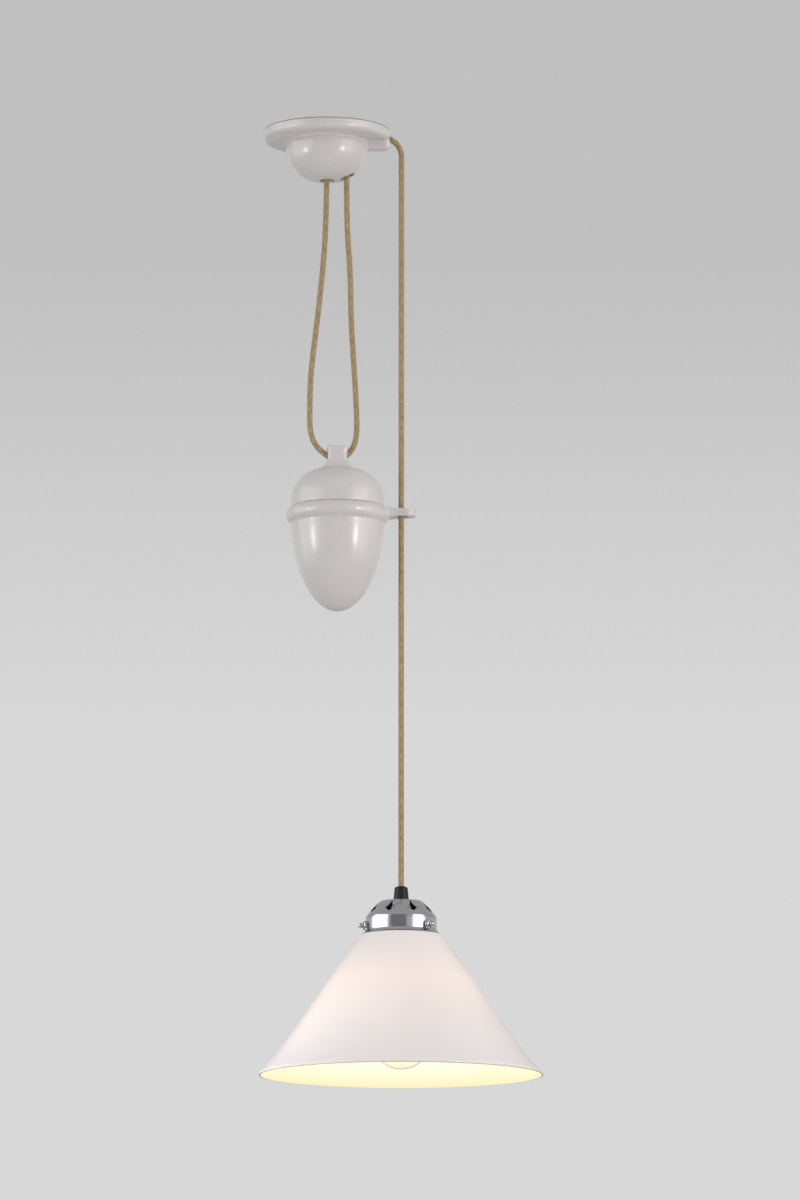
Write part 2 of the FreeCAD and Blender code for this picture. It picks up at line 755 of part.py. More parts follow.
def earth_screw():
    head = under_plate - 2 * seat_gap - washer_t
    screw = rod(earth_screw_r, (earth_x, earth_y, head), (earth_x, earth_y, -seat_gap))
    screw = screw.fuse(rod(2 * earth_screw_r, (earth_x, earth_y, head - 2.4), (earth_x, earth_y, head)))
    for turned_by in (0, 90):
        slot = block(earth_x - 3, earth_x + 3, earth_y - 0.4, earth_y + 0.4, head - 2.4, head - 1)
        slot.rotate(FreeCAD.Vector(earth_x, earth_y, 0), FreeCAD.Vector(0, 0, 1), turned_by)
        screw = screw.cut(slot)
    return screw


def earth_washer():
    top = under_plate - seat_gap
    return tube(2.2 * earth_screw_r, earth_screw_r + hole_clear, (earth_x, earth_y, top - washer_t),
                (earth_x, earth_y, top))


# ---- counterweight ----------------------------------------------------------------------------------
def body_radius(z, inset=0.0):
    """Radius of the counterweight's egg at that height."""
    share = (z - band_z) / (body_depth - inset)
    return (body_r - inset) * math.sqrt(1 - share**2)


def egg(top, inset):
    """The egg's lower half, filled from its tip up to top, at that inset from the outside."""
    tip = at((0, band_z - body_depth + inset))
    edge = at((body_radius(top, inset), top))
    ellipse = Part.Ellipse(tip, at((body_r - inset, band_z)), at((0, band_z)))
    edges = [ellipse.toShape(ellipse.parameter(tip), ellipse.parameter(edge)),
             Part.LineSegment(edge, at((0, top))).toShape(),
             Part.LineSegment(at((0, top)), tip).toShape()]
    solid = Part.Face(Part.Wire(edges)).revolve(FreeCAD.Vector(), FreeCAD.Vector(0, 0, 1), 360)
    solid.translate(FreeCAD.Vector(weight_x, 0, 0))
    return solid


def weight_body():
    """Glazed lower shell with the band, the guide arm and two bayonet ledges inside."""
    w = weight_x
    join = band_z - band_h + band_up
    egg_outside = egg(join, 0)
    band = turned(w, (0, body_top), (body_r - 0.1, body_top), ((band_r, band_z), (body_radius(join), join)),
                  (0, join))
    arm = block(w + body_bore, w + arm_reach, -arm_w / 2, arm_w / 2, band_z - arm_t / 2, band_z + arm_t / 2)
    corners = [e for e in arm.Edges if e.Length < arm_t + 0.01 and e.BoundBox.XMin > w + arm_reach - 1]
    arm = arm.makeFillet(arm_w / 2 - 0.1, corners)
    edges = [e for e in arm.Edges if e.BoundBox.ZLength < 0.01 and e.BoundBox.XMax > w + body_r + 5]
    arm = arm.makeFillet(arm_round, edges)
    shell = egg_outside.fuse([band, arm]).removeSplitter()
    bore = rod(body_bore, (w, 0, join), (w, 0, body_top + 1))
    shell = shell.cut(bore).cut(egg(join + 0.01, shell_wall))
    for middle in (90, 270):
        ring = tube(body_bore + 1, ledge_r, (w, 0, ledge_z - ledge_t), (w, 0, ledge_z))
        ledge = ring.common(sector(w, body_r, ledge_z - ledge_t, ledge_z, middle, ledge_span))
        shell = shell.fuse(ledge)
    return shell.cut(rod(eye_r, (w + eye_reach, 0, band_z - arm_t), (w + eye_reach, 0, band_z + arm_t)))


def weight_cap():
    """Glazed upper shell with a forked neck that holds the roller."""
    w = weight_x
    centre = (cap_r - cap_shoulder, cap_rim + cap_skirt)
    inner = cap_shoulder - shell_wall
    shell = turned(w, (0, cap_rim), (cap_r, cap_rim), (cap_r, centre[1]),
                   (polar(centre, cap_shoulder, 45), (centre[0], cap_top)), (0, cap_top))
    hollow = turned(w, (0, cap_rim - spigot_h), (cap_r - shell_wall - 2.5, cap_rim - spigot_h),
                    (cap_r - shell_wall - 2.5, centre[1]),
                    (polar(centre, inner - 2.5, 45), (centre[0], cap_top - shell_wall - 2.5)),
                    (0, cap_top - shell_wall - 2.5))
    spigot = rod(body_bore - run_gap, (w, 0, cap_rim - spigot_h), (w, 0, cap_rim))
    neck_top = neck_axis_z + neck_up
    waist_z = neck_axis_z - neck_waist_down
    corner = (neck_half_w - neck_round, neck_top - neck_round)
    neck = turned(w, (0, cap_top - 1), (neck_base, cap_top - 1), (neck_base, cap_top),
                  ((neck_waist, waist_z), (neck_half_w, corner[1])),
                  (polar(corner, neck_round, 45), (corner[0], neck_top)), (0, neck_top))
    slab = block(w - neck_base, w + neck_base, -neck_depth / 2, neck_depth / 2, cap_top - 1, neck_top)
    cap = shell.fuse([spigot, neck.common(slab)]).removeSplitter().cut(hollow)
    cap = cap.cut(block(w - neck_base, w + neck_base, -fork_w / 2, fork_w / 2, fork_floor, neck_top + 1))
    pin_hole = rod(neck_pin_r + pin_fit, (w, -neck_depth / 2 + pin_skin, neck_axis_z),
                   (w, neck_depth, neck_axis_z))
    tie_hole = rod(tie_r + hole_clear, (w, 0, cap_rim), (w, 0, neck_top))
    head_hole = rod(tie_head_r + hole_clear, (w, 0, fork_floor - tie_head_h - seat_gap), (w, 0, neck_top))
    fork = block(w - neck_base, w + neck_base, -fork_w / 2 + 0.2, fork_w / 2 - 0.2, cap_top - 9, neck_top)
    return cap.cut(pin_hole).cut(tie_hole).cut(head_hole.common(fork))


def seat_ring():
    """Thin cork ring between the two glazed shells."""
    top = cap_rim - seat_gap
    return tube(body_r - 1.2, body_bore + 0.2, (weight_x, 0, top - seat_ring_t), (weight_x, 0, top))


def ballast():
    """Iron slug that hooks under the ledges and is drawn up by the tie bolt."""
    w = weight_x
    under = ledge_z - ledge_t - seat_gap
    top = under + ballast_up
    slug = rod(ballast_r, (w, 0, under - ballast_lug_t), (w, 0, top))
    lugs = [rod(ballast_lug_r, (w, 0, under - ballast_lug_t), (w, 0, under)).common(
        sector(w, ballast_lug_r + 1, under - ballast_lug_t, under, middle, ledge_span - 6))
        for middle in (90, 270)]
    low = egg(under - ballast_lug_t, shell_wall + ballast_gap).common(
        rod(ballast_lug_r, (w, 0, under - ballast_h), (w, 0, under)))
    body = slug.fuse(lugs + [low]).removeSplitter()
    return body.cut(rod(tie_r + thread_fit, (w, 0, top - tie_grip), (w, 0, top)))


def tie_bolt():
    """Slotted bolt from the floor of the fork down into the ballast."""
    w = weight_x
    head = fork_floor - seat_gap
    top = ledge_z - ledge_t - seat_gap + ballast_up
    bolt = rod(tie_r, (w, 0, top - tie_grip + 1), (w, 0, head))
    flats = block(w - neck_base, w + neck_base, -fork_w / 2 + 0.5, fork_w / 2 - 0.5, cap_top - 9, head)
    bolt = bolt.fuse(rod(tie_head_r, (w, 0, head - tie_head_h), (w, 0, head)).common(flats))
    return bolt.cut(block(w - 8, w + 8, -0.6, 0.6, head - 1.2, head))


def neck_roller():
    return roller((weight_x, neck_axis_z), neck_groove_r, neck_flange_r, neck_pin_r + pin_fit)


def neck_roller_pin():
    """Pushed in from the rear and flush with the fork."""
    rear, blind = neck_depth / 2 - pin_short, -neck_depth / 2 + pin_skin + pin_short
    return rod(neck_pin_r, (weight_x, blind, neck_axis_z), (weight_x, rear, neck_axis_z))


# ---- lamp -------------------------------------------------------------------------------------------
def cord_grip():
    """Moulded grip: the flex enters at the top, the nipple screws in from below."""
    x, top = lamp_x, grip_top
    cone = top - grip_cone
    grip = turned(x, (cord_r + cord_fit, top), (grip_top_r - 1, top), (grip_top_r, top - grip_step),
                  (grip_r, cone), (grip_r, gallery_top + seat_gap),
                  (nipple_r + thread_fit, gallery_top + seat_gap),
                  (nipple_r + thread_fit, gallery_top + nipple_up + seat_gap),
                  (cord_r + cord_fit, gallery_top + nipple_up + seat_gap))
    z = top - grip_screw_down
    return grip.cut(rod(grip_screw_r + thread_fit, (x, 0, z), (x, grip_r + 1, z)))


def grip_screw():
    z = grip_top - grip_screw_down
    screw = rod(grip_screw_r, (lamp_x, cord_r + cord_fit, z), (lamp_x, grip_top_r + 0.4, z))
    return screw.cut(block(lamp_x - 3, lamp_x + 3, grip_top_r - 0.6, grip_r, z - 0.3, z + 0.3))


def cord_lamp_end():
    """The flex inside the grip and the nipple, down into the holder."""
    return rod(cord_r, (lamp_x, 0, grip_top - seat_gap), (lamp_x, 0, lamp_sheath_end))


def threaded_nipple():
    return tube(nipple_r, nipple_bore, (lamp_x, 0, holder_top - 6), (lamp_x, 0, gallery_top + nipple_up))


def lock_washer():
    top = gallery_top - gallery_t - seat_gap
    return tube(washer_r, nipple_r + hole_clear, (lamp_x, 0, top - washer_t), (lamp_x, 0, top))


def lock_nut():
    """Hexagon nut on the nipple, under the gallery's top."""
    corners = [FreeCAD.Vector(lamp_x + turn(nut_r, a)[0], turn(nut_r, a)[1], nut_bottom)
               for a in range(0, 361, 60)]
    nut = Part.Face(Part.makePolygon(corners)).extrude(FreeCAD.Vector(0, 0, nut_h))
    return nut.cut(rod(nipple_r + thread_fit, (lamp_x, 0, nut_bottom - 1), (lamp_x, 0, gallery_top)))


def gallery_steps(inset):
    """Half outline of the spun gallery, moved inwards by inset: cone, rounding, band and lip."""
    lean = math.radians(gallery_cone_lean)
    top = gallery_top - inset
    crest = (gallery_top_r - inset * math.tan(lean / 2), top)
    cone = (gallery_cone_r - inset * math.cos(lean),
            gallery_top - gallery_cone_end - inset * math.sin(lean))
    band = (gallery_band_r - inset, gallery_top - gallery_band_top)
    low = (gallery_band_r - inset, gallery_top - gallery_band_end)
    lip = (gallery_lip_r - inset, gallery_lip)
    return [(0, top), crest, (bowed(crest, cone, gallery_cone_bow), cone),
            (bowed(cone, band, gallery_round_bow), band), low,
            (bowed(low, lip, -gallery_lip_bow), lip), (0, gallery_lip)]


def vent():
    """One opening like a bell with two points, cut straight down through the cone towards +X."""
    top = (vent_top_out + vent_top_round, vent_top_half)
    wing = (vent_wing_out, vent_wing_half)
    foot = (vent_foot_out - vent_foot_round, vent_foot_half)
    flank = bowed(top, wing, -vent_flank_bow)

    def low(point, side=1):
        return FreeCAD.Vector(point[0], side * point[1], gallery_top - gallery_h / 2)

    edges = [Part.Arc(low(top, -1), low((vent_top_out, 0)), low(top)),
             Part.Arc(low(foot), low((vent_foot_out, 0)), low(foot, -1))]
    for side in (-1, 1):
        edges.append(Part.Arc(low(top, side), low(flank, side), low(wing, side)))
        edges.append(Part.LineSegment(low(wing, side), low(foot, side)))
    wire = Part.Wire(Part.__sortEdges__([edge.toShape() for edge in edges]))
    return Part.Face(wire).extrude(FreeCAD.Vector(0, 0, gallery_h))


def gallery():
    """Spun aluminium gallery with a ring of vents and three screw holes."""
    shell = turned(0, *gallery_steps(0)).cut(turned(0, *gallery_steps(gallery_t)))
    for n in range(vents):
        shell = shell.cut(around(vent(), 0, (n + 0.5) * 360 / vents))
    for angle in thumb_angles:
        shell = shell.cut(radial_rod(thumb_r + run_gap, shade_neck_r, gallery_lip_r + 2, thumb_z, angle))
    shell = shell.cut(rod(nipple_r + hole_clear, (0, 0, gallery_top - 3), (0, 0, gallery_top + 1)))
    shell.translate(FreeCAD.Vector(lamp_x, 0, 0))
    return shell


def screw_bosses():
    """Three round threaded bosses on the gallery's band."""
    bosses = []
    for angle in thumb_angles:
        start = gallery_band_r + seat_gap
        ball = Part.makeSphere(boss_r, FreeCAD.Vector(boss_out, 0, thumb_z))
        keep = block(start, boss_out + boss_r, -boss_r, boss_r, thumb_z - boss_r, thumb_z + boss_r)
        boss = ball.common(keep).cut(rod(gallery_band_r + seat_gap, (0, 0, thumb_z - 9), (0, 0, thumb_z + 9)))
        boss = boss.cut(rod(thumb_r + pin_fit, (0, 0, thumb_z), (2 * boss_out, 0, thumb_z)))
        bosses.append(around(boss, 0, angle))
    node = group(bosses)
    node.translate(FreeCAD.Vector(lamp_x, 0, 0))
    return node


def gallery_screw(number):
    """Thumbscrew with a ball head; its tip bears on the shade's neck."""
    tip, ball_x = shade_neck_r + run_gap, thumb_ball_out
    shank_end = boss_out + boss_r
    shank = rod(thumb_r, (tip, 0, thumb_z), (shank_end, 0, thumb_z))
    neck = rod(thumb_neck_r, (shank_end, 0, thumb_z), (ball_x, 0, thumb_z))
    ball = Part.makeSphere(thumb_ball_r, FreeCAD.Vector(ball_x, 0, thumb_z))
    screw = around(shank.fuse([neck, ball]).removeSplitter(), 0, thumb_angles[number - 1])
    screw.translate(FreeCAD.Vector(lamp_x, 0, 0))
    return screw


def shade_side(offset):
    """The shade's outline from its shoulder to its rim, moved inwards by offset: cone, then flare."""
    lean = math.atan(shade_slope)
    normal = (-offset * math.cos(lean), -offset * math.sin(lean))
    chord = (shade_rim_r - shade_cone_r, shade_rim - shade_cone_end)
    swing = math.atan2(chord[0], -chord[1]) - lean
    length = math.hypot(*chord)
    sag = length / 2 * math.tan(swing / 2)
    across = (-chord[1] / length, chord[0] / length)
    end_lean = lean + 2 * swing
    end_normal = (-offset * math.cos(end_lean), -offset * math.sin(end_lean))
    mid_normal = (-offset * math.cos(lean + swing), -offset * math.sin(lean + swing))
    cone_end = (shade_cone_r + normal[0], shade_cone_end + normal[1])
    middle = (shade_cone_r + chord[0] / 2 - across[0] * sag + mid_normal[0],
              shade_cone_end + chord[1] / 2 - across[1] * sag + mid_normal[1])
    rim = (shade_rim_r + end_normal[0], shade_rim + end_normal[1])
    return cone_end, middle, rim


def shade():
    """Opal glass: beaded neck, flat shoulder under the gallery's lip, cone and flared rim."""
    cone_end, middle, rim = shade_side(0)
    in_cone_end, in_middle, in_rim = shade_side(shade_wall)
    bead_low = shade_top - shade_bead_h
    neck_in = shade_neck_r - shade_wall
    fillet = (shade_neck_r + shade_fillet, shade_shoulder + shade_fillet)
    rim_middle = ((rim[0] + in_rim[0]) / 2 + shade_wall * 0.25, (rim[1] + in_rim[1]) / 2 - shade_wall * 0.3)
    in_shoulder = shade_shoulder - shade_wall
    in_cone_top = in_cone_end[0] - (in_shoulder - in_cone_end[1]) * shade_slope
    solid = turned(
        0, (neck_in, shade_top), (shade_bead_r - shade_bead_round, shade_top),
        ((shade_bead_r, shade_top - shade_bead_round),
         (shade_bead_r - 0.4, shade_top - shade_bead_h * 0.7)),
        (shade_neck_r, bead_low), (shade_neck_r, fillet[1]),
        (polar(fillet, shade_fillet, 225), (fillet[0], shade_shoulder)),
        (shade_cone_top_r - 2, shade_shoulder),
        (shade_cone_top_r + 1.0, shade_shoulder - 1.6), cone_end, (middle, rim), (rim_middle, in_rim),
        (in_middle, in_cone_end), (in_cone_top, in_shoulder), (neck_in + 1, in_shoulder),
        (neck_in, in_shoulder + 1))
    solid.translate(FreeCAD.Vector(lamp_x, 0, 0))
    return solid


def shade_ring():
    """Soft ring between the gallery's cone and the shade's bead."""
    low = shade_top + seat_gap
    inner = shade_bead_r - shade_bead_round - shade_ring_w
    return tube(inner + shade_ring_w, inner, (lamp_x, 0, low), (lamp_x, 0, low + shade_ring_t))


def holder_cap():
    """Domed cap that screws onto the nipple."""
    x, top = lamp_x, holder_top
    shoulder = top - 8.5
    return turned(x, (nipple_r + thread_fit, top), (holder_neck_r, top), (holder_neck_r, top - 2.5),
                  ((holder_r * 0.85, top - 4.2), (holder_r, shoulder)), (holder_r, holder_split),
                  (holder_r - holder_wall, holder_split), (holder_r - holder_wall, shoulder),
                  ((holder_r * 0.78 - 1, top - 6.2), (holder_neck_r, top - 5.5)),
                  (nipple_r + thread_fit, top - 5.5))


def holder_body():
    """Lower part of the holder, with the skirt that the shell sits in."""
    x, top = lamp_x, holder_split - seat_gap
    bottom = top - holder_h
    inner = socket_r + socket_t + 0.6
    return turned(x, (holder_r, top), (holder_r, bottom + 2), (holder_r - 1.2, bottom), (inner, bottom),
                  (inner, top - insert_t - seat_gap), (holder_r - holder_wall, top - insert_t - seat_gap),
                  (holder_r - holder_wall, top))


def holder_insert():
    """Ceramic disc that carries the contact and the two terminals."""
    x, top = lamp_x, holder_split - seat_gap
    disc = rod(holder_r - holder_wall - seat_gap, (x, 0, top - insert_t), (x, 0, top))
    for side in (-1, 1):
        y = side * post_y
        disc = disc.cut(rod(post_r + seat_gap, (x, y, top - insert_t + 2), (x, y, top)))
    return disc.cut(rod(1.6, (x, 0, top - insert_t), (x, 0, top)))


def holder_terminals():
    """Two brass posts with cross holes for the cores."""
    posts = []
    for side in (-1, 1):
        y, hole_z = side * post_y, holder_split + post_hole
        post = rod(post_r, (lamp_x, y, holder_split - insert_t + 2), (lamp_x, y, holder_split + post_up))
        hole = rod(core_d / 2 + seat_gap, (lamp_x, y - side * 2 * post_r, hole_z), (lamp_x, y, hole_z))
        posts.append(post.cut(hole))
    return group(posts)


def holder_cores():
    """Two cores from the end of the sheath to the terminal posts."""
    cores = []
    for side in (-1, 1):
        start = FreeCAD.Vector(lamp_x, side * 1.3, lamp_sheath_end - seat_gap)
        corner = FreeCAD.Vector(lamp_x, side * 1.4, holder_split + post_hole)
        end = FreeCAD.Vector(lamp_x, side * (post_y - seat_gap), holder_split + post_hole)
        cores.append(flex("holder core", [start, corner, end], core_d / 2))
    return group(cores)


def socket_shell():
    """Thin brass shell that the bulb's cap screws into."""
    top = insert_bottom - seat_gap
    return tube(socket_r + socket_t, socket_r, (lamp_x, 0, top - socket_h), (lamp_x, 0, top))


def socket_contact():
    """Sprung centre contact with a rivet through the disc."""
    top = insert_bottom - seat_gap
    pad = rod(4.0, (lamp_x, 0, top - contact_h), (lamp_x, 0, top))
    return pad.fuse(rod(1.5, (lamp_x, 0, top), (lamp_x, 0, insert_bottom + insert_t - 1))).removeSplitter()


def bulb_tip():
    top = bulb_tip_z
    return rod(bulb_tip_r, (lamp_x, 0, top - bulb_tip_h), (lamp_x, 0, top))


def bulb_insulator():
    """Dark glass cone between the centre contact and the cap."""
    top = bulb_tip_z - bulb_tip_h - seat_gap
    return turned(lamp_x, (0, top), (bulb_tip_r + 0.6, top), (bulb_cap_r - 2, top - bulb_insulator_h),
                  (0, top - bulb_insulator_h))


def bulb_cap():
    """Screw shell of the bulb."""
    top = bulb_tip_z - bulb_tip_h - bulb_insulator_h - 2 * seat_gap
    low = top - bulb_cap_h
    return turned(lamp_x, (bulb_cap_r - 2, top), (bulb_cap_r, top - 2), (bulb_cap_r, low),
                  (bulb_cap_r - bulb_cap_t, low), (bulb_cap_r - bulb_cap_t, top - 2 - bulb_cap_t),
                  (bulb_cap_r - 2 - bulb_cap_t, top - bulb_cap_t), (0, top - bulb_cap_t), (0, top))


def glass_steps(inset):
    """Half outline of the bulb's glass, moved inwards: neck, straight taper and round end."""
    cap_low = bulb_tip_z - bulb_tip_h - bulb_insulator_h - 2 * seat_gap - bulb_cap_h
    neck_r = bulb_neck_r - inset - bulb_cap_t
    start = (neck_r, cap_low - bulb_neck_h)
    centre = (0, bulb_bottom + bulb_r)
    radius = bulb_r - inset
    span = math.hypot(start[0], start[1] - centre[1])
    lean = math.asin(radius / span) - math.atan2(start[0], start[1] - centre[1])
    touch = polar(centre, radius, math.degrees(lean))
    return [(0, cap_low + 8), (neck_r, cap_low + 8), start, touch,
            (polar(centre, radius, (math.degrees(lean) - 90) / 2), (0, centre[1] - radius))]


def bulb_glass():
    shell = turned(0, *glass_steps(0)).cut(turned(0, *glass_steps(bulb_glass_t)))
    shell.translate(FreeCAD.Vector(lamp_x, 0, 0))
    return shell


def stem_top():
    return bulb_tip_z - bulb_tip_h - bulb_insulator_h - bulb_cap_h + 7


def bulb_stem():
    """Glass stem that carries the filaments."""
    low = stem_top() - stem_h
    foot = stem_top()
    return turned(lamp_x, (0, foot), (bulb_neck_r - bulb_cap_t - bulb_glass_t - 0.3, foot),
                  (bulb_neck_r - bulb_cap_t - bulb_glass_t - 0.3, foot - 1.5), (stem_r, foot - 9),
                  (stem_r * 0.6, low), (0, low))


def bulb_filaments():
    """Upright filament sticks, each on two wires from the stem."""
    high = stem_top() - stem_h + 16
    low = high - filament_l
    sticks = []
    for n in range(filaments):
        x, y = turn(filament_ring, (n + 0.5) * 360 / filaments)
        stick = rod(filament_r, (x, y, low), (x, y, high))
        sticks += [stick, rod(wire_r, (0, 0, high), (x, y, high)), rod(wire_r, (0, 0, low), (x, y, low))]
    hub = rod(wire_r, (0, 0, low), (0, 0, stem_top() - stem_h))
    node = hub.fuse(sticks)
    node.translate(FreeCAD.Vector(lamp_x, 0, 0))
    return node.cut(bulb_stem())


nodes = {
    "ceiling_plate": ceiling_plate, "rose_cover": rose_cover, "cover_screws": cover_screws,
    "pulley_bracket": pulley_bracket, "bracket_rivets": bracket_rivets, "inner_pulley": inner_pulley,
    "inner_pulley_pin": inner_pulley_pin, "pin_clip": pin_clip, "exit_roller": exit_roller,
    "exit_roller_pin": exit_roller_pin, "clamp_bracket": clamp_bracket, "clamp_bar": clamp_bar,
    "clamp_screws": clamp_screws, "terminal_block": terminal_block,
    "terminal_inserts": terminal_inserts, "terminal_screws": terminal_screws,
    "block_screws": block_screws, "earth_screw": earth_screw, "earth_washer": earth_washer,
    "core_live": lambda: core("core_live", (0.7, -1.3), -1),
    "core_neutral": lambda: core("core_neutral", (0.7, 1.3), 1),
    "core_earth": lambda: core("core_earth", (-1.6, 0), 0),
    "cord_tail": cord_tail, "cord_over_pulley": cord_over_pulley, "cord_loop": cord_loop,
    "cord_drop": cord_drop, "weight_cap": weight_cap, "weight_body": weight_body,
    "seat_ring": seat_ring, "ballast": ballast, "tie_bolt": tie_bolt, "neck_roller": neck_roller,
    "neck_roller_pin": neck_roller_pin, "cord_lamp_end": cord_lamp_end, "cord_grip": cord_grip,
    "grip_screw": grip_screw, "threaded_nipple": threaded_nipple, "lock_washer": lock_washer,
    "lock_nut": lock_nut, "gallery": gallery, "screw_bosses": screw_bosses,
    "gallery_screw_1": lambda: gallery_screw(1), "gallery_screw_2": lambda: gallery_screw(2),
    "gallery_screw_3": lambda: gallery_screw(3), "shade": shade, "shade_ring": shade_ring,
    "holder_cap": holder_cap, "holder_body": holder_body, "holder_insert": holder_insert,
    "holder_terminals": holder_terminals, "holder_cores": holder_cores,
    "socket_shell": socket_shell, "socket_contact": socket_contact, "bulb_cap": bulb_cap,
    "bulb_insulator": bulb_insulator, "bulb_tip": bulb_tip, "bulb_glass": bulb_glass,
    "bulb_stem": bulb_stem, "bulb_filaments": bulb_filaments,
}

os.makedirs("parts", exist_ok=True)
for name, make in nodes.items():
    shape = make()
    if not shape.isValid():
        print("NOT VALID", name)
    print(f"{name:20s} solids {len(shape.Solids):2d}  volume {shape.Volume:12.1f}")
    shape.exportStep(f"parts/{name}.step")
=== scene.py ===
# %% [markdown]
# # A rise and fall pendant
# A porcelain ceiling rose holds the fixed end of a braided flex. The flex runs down, round a roller
# in the neck of a porcelain counterweight, up again into the rose and over two pulleys, and down to
# an opal glass shade. When the shade is pulled down, the counterweight climbs half as far. The
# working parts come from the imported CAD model. This script gives them their finishes, and models
# again every piece whose surface the room sees.

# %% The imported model
import json
import math

import bpy
import numpy as np
from mathutils import Matrix, Vector


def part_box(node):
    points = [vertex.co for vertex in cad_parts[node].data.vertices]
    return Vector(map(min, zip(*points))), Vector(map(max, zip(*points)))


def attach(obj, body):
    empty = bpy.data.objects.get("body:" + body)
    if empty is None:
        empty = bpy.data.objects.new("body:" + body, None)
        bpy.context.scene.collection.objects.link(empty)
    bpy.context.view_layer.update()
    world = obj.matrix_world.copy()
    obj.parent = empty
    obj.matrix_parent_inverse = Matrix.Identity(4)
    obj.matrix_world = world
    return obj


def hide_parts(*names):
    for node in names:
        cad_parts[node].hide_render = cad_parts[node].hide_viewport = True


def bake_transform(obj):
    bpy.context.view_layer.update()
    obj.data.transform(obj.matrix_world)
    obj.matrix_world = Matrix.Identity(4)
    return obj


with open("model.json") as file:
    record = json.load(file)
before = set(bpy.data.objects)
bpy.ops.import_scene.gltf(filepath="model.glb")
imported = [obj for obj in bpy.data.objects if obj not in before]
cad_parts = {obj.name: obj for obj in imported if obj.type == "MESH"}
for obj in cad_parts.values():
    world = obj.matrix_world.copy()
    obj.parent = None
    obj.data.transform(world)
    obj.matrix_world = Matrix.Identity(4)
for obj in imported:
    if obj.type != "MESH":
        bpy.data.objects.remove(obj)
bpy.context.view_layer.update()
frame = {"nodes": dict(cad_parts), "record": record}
scene = bpy.context.scene
MM = 0.001

# %% [markdown]
# ## Camera
# The pendant was photographed from far off, from well below, looking up. A long lens at that
# distance keeps the perspective as flat as it was. The camera stands still, and pitches up instead
# of shifting.

# %% Camera
CAMERA_PLACE = (0.0793, -6.893, -1.680)
CAMERA_PITCH = 9.6
FOCAL_PIXELS = 6540
LONG_SIDE_PIXELS = 1200
SENSOR = 36

bpy.ops.object.camera_add(location=CAMERA_PLACE, rotation=(math.radians(90 + CAMERA_PITCH), 0, 0))
scene.camera = bpy.context.object
scene.camera.data.sensor_width = SENSOR
scene.camera.data.lens = SENSOR * FOCAL_PIXELS / LONG_SIDE_PIXELS
print("lens", round(scene.camera.data.lens, 1), "mm")

# %% [markdown]
# ## Flex
# The flex has two free stretches. One hangs from the rose as a loop round the counterweight's
# roller, and one leaves the rose's rim and hangs straight under the lamp's weight. Each follows one
# smooth NURBS line. The loop is a stiff flex that bows out to both sides above the roller.

# %% The lines that the flex follows
FLEX_WIDTH = 0.0062
LINE_STEPS = 32
LOOP_ROUTE = [
    (0.0, -0.0520), (-0.0003, -0.1120), (-0.0077, -0.1920), (-0.0164, -0.2620), (-0.0178, -0.3000),
    (-0.0172, -0.3414), (0.0052, -0.3614), (0.0188, -0.3614), (0.0334, -0.3440), (0.0324, -0.2980),
    (0.0263, -0.2080), (0.0260, -0.1580), (0.0217, -0.1040), (0.0217, -0.0500),
]
DROP_ROUTE = [(0.0612, -0.00545), (0.0729, -0.0097), (0.0809, -0.0211), (0.0809, -0.0350),
              (0.0805, -0.8225)]


def line_of(route):
    """Points along the smooth line that has the route's corners, (x, z), as its control points."""
    curve = bpy.data.curves.new("route", "CURVE")
    curve.dimensions = "3D"
    curve.resolution_u = LINE_STEPS
    spline = curve.splines.new("NURBS")
    spline.points.add(len(route) - 1)
    for point, (x, z) in zip(spline.points, route):
        point.co = (x, 0, z, 1)
    spline.order_u = 3
    spline.use_endpoint_u = True
    holder = bpy.data.objects.new("route", curve)
    mesh = bpy.data.meshes.new_from_object(holder)
    line = np.array([vertex.co for vertex in mesh.vertices])
    bpy.data.objects.remove(holder)
    bpy.data.curves.remove(curve)
    bpy.data.meshes.remove(mesh)
    return line


def length_of(line):
    """The length of a line of points."""
    return float(np.linalg.norm(np.diff(line, axis=0), axis=1).sum())


loop_line, drop_line = line_of(LOOP_ROUTE), line_of(DROP_ROUTE)
print("loop", round(length_of(loop_line), 4), "drop", round(length_of(drop_line), 4))

# %% [markdown]
# The braid is eight strands of yarn each way, which pass over and under each other. Where one
# passes over, it stands proud, so the tube's own surface rises and falls in small diamonds. The
# same two counts, round the flex and along it, are kept as a UV map for the material.

# %% A braided tube
STRANDS = 8
LAY = 24 * MM
RELIEF = 0.24 * MM
POINTS_PER_STRAND = 5
FULLNESS = 0.6  # below 1, a strand is rounder on top and its grooves are narrower


def braid_height(turns, along):
    """How proud the braid stands, 0 to 1, so many turns round the flex and so far along it."""
    left = STRANDS * (turns + along / LAY)
    right = STRANDS * (turns - along / LAY)
    left_on_top = (np.floor(left) + np.floor(right)) % 2 < 1
    across = np.where(left_on_top, left % 1, right % 1)
    lengthways = np.where(left_on_top, right % 1, left % 1)
    return np.sin(np.pi * across) ** FULLNESS * (0.5 + 0.5 * np.sin(np.pi * lengthways))


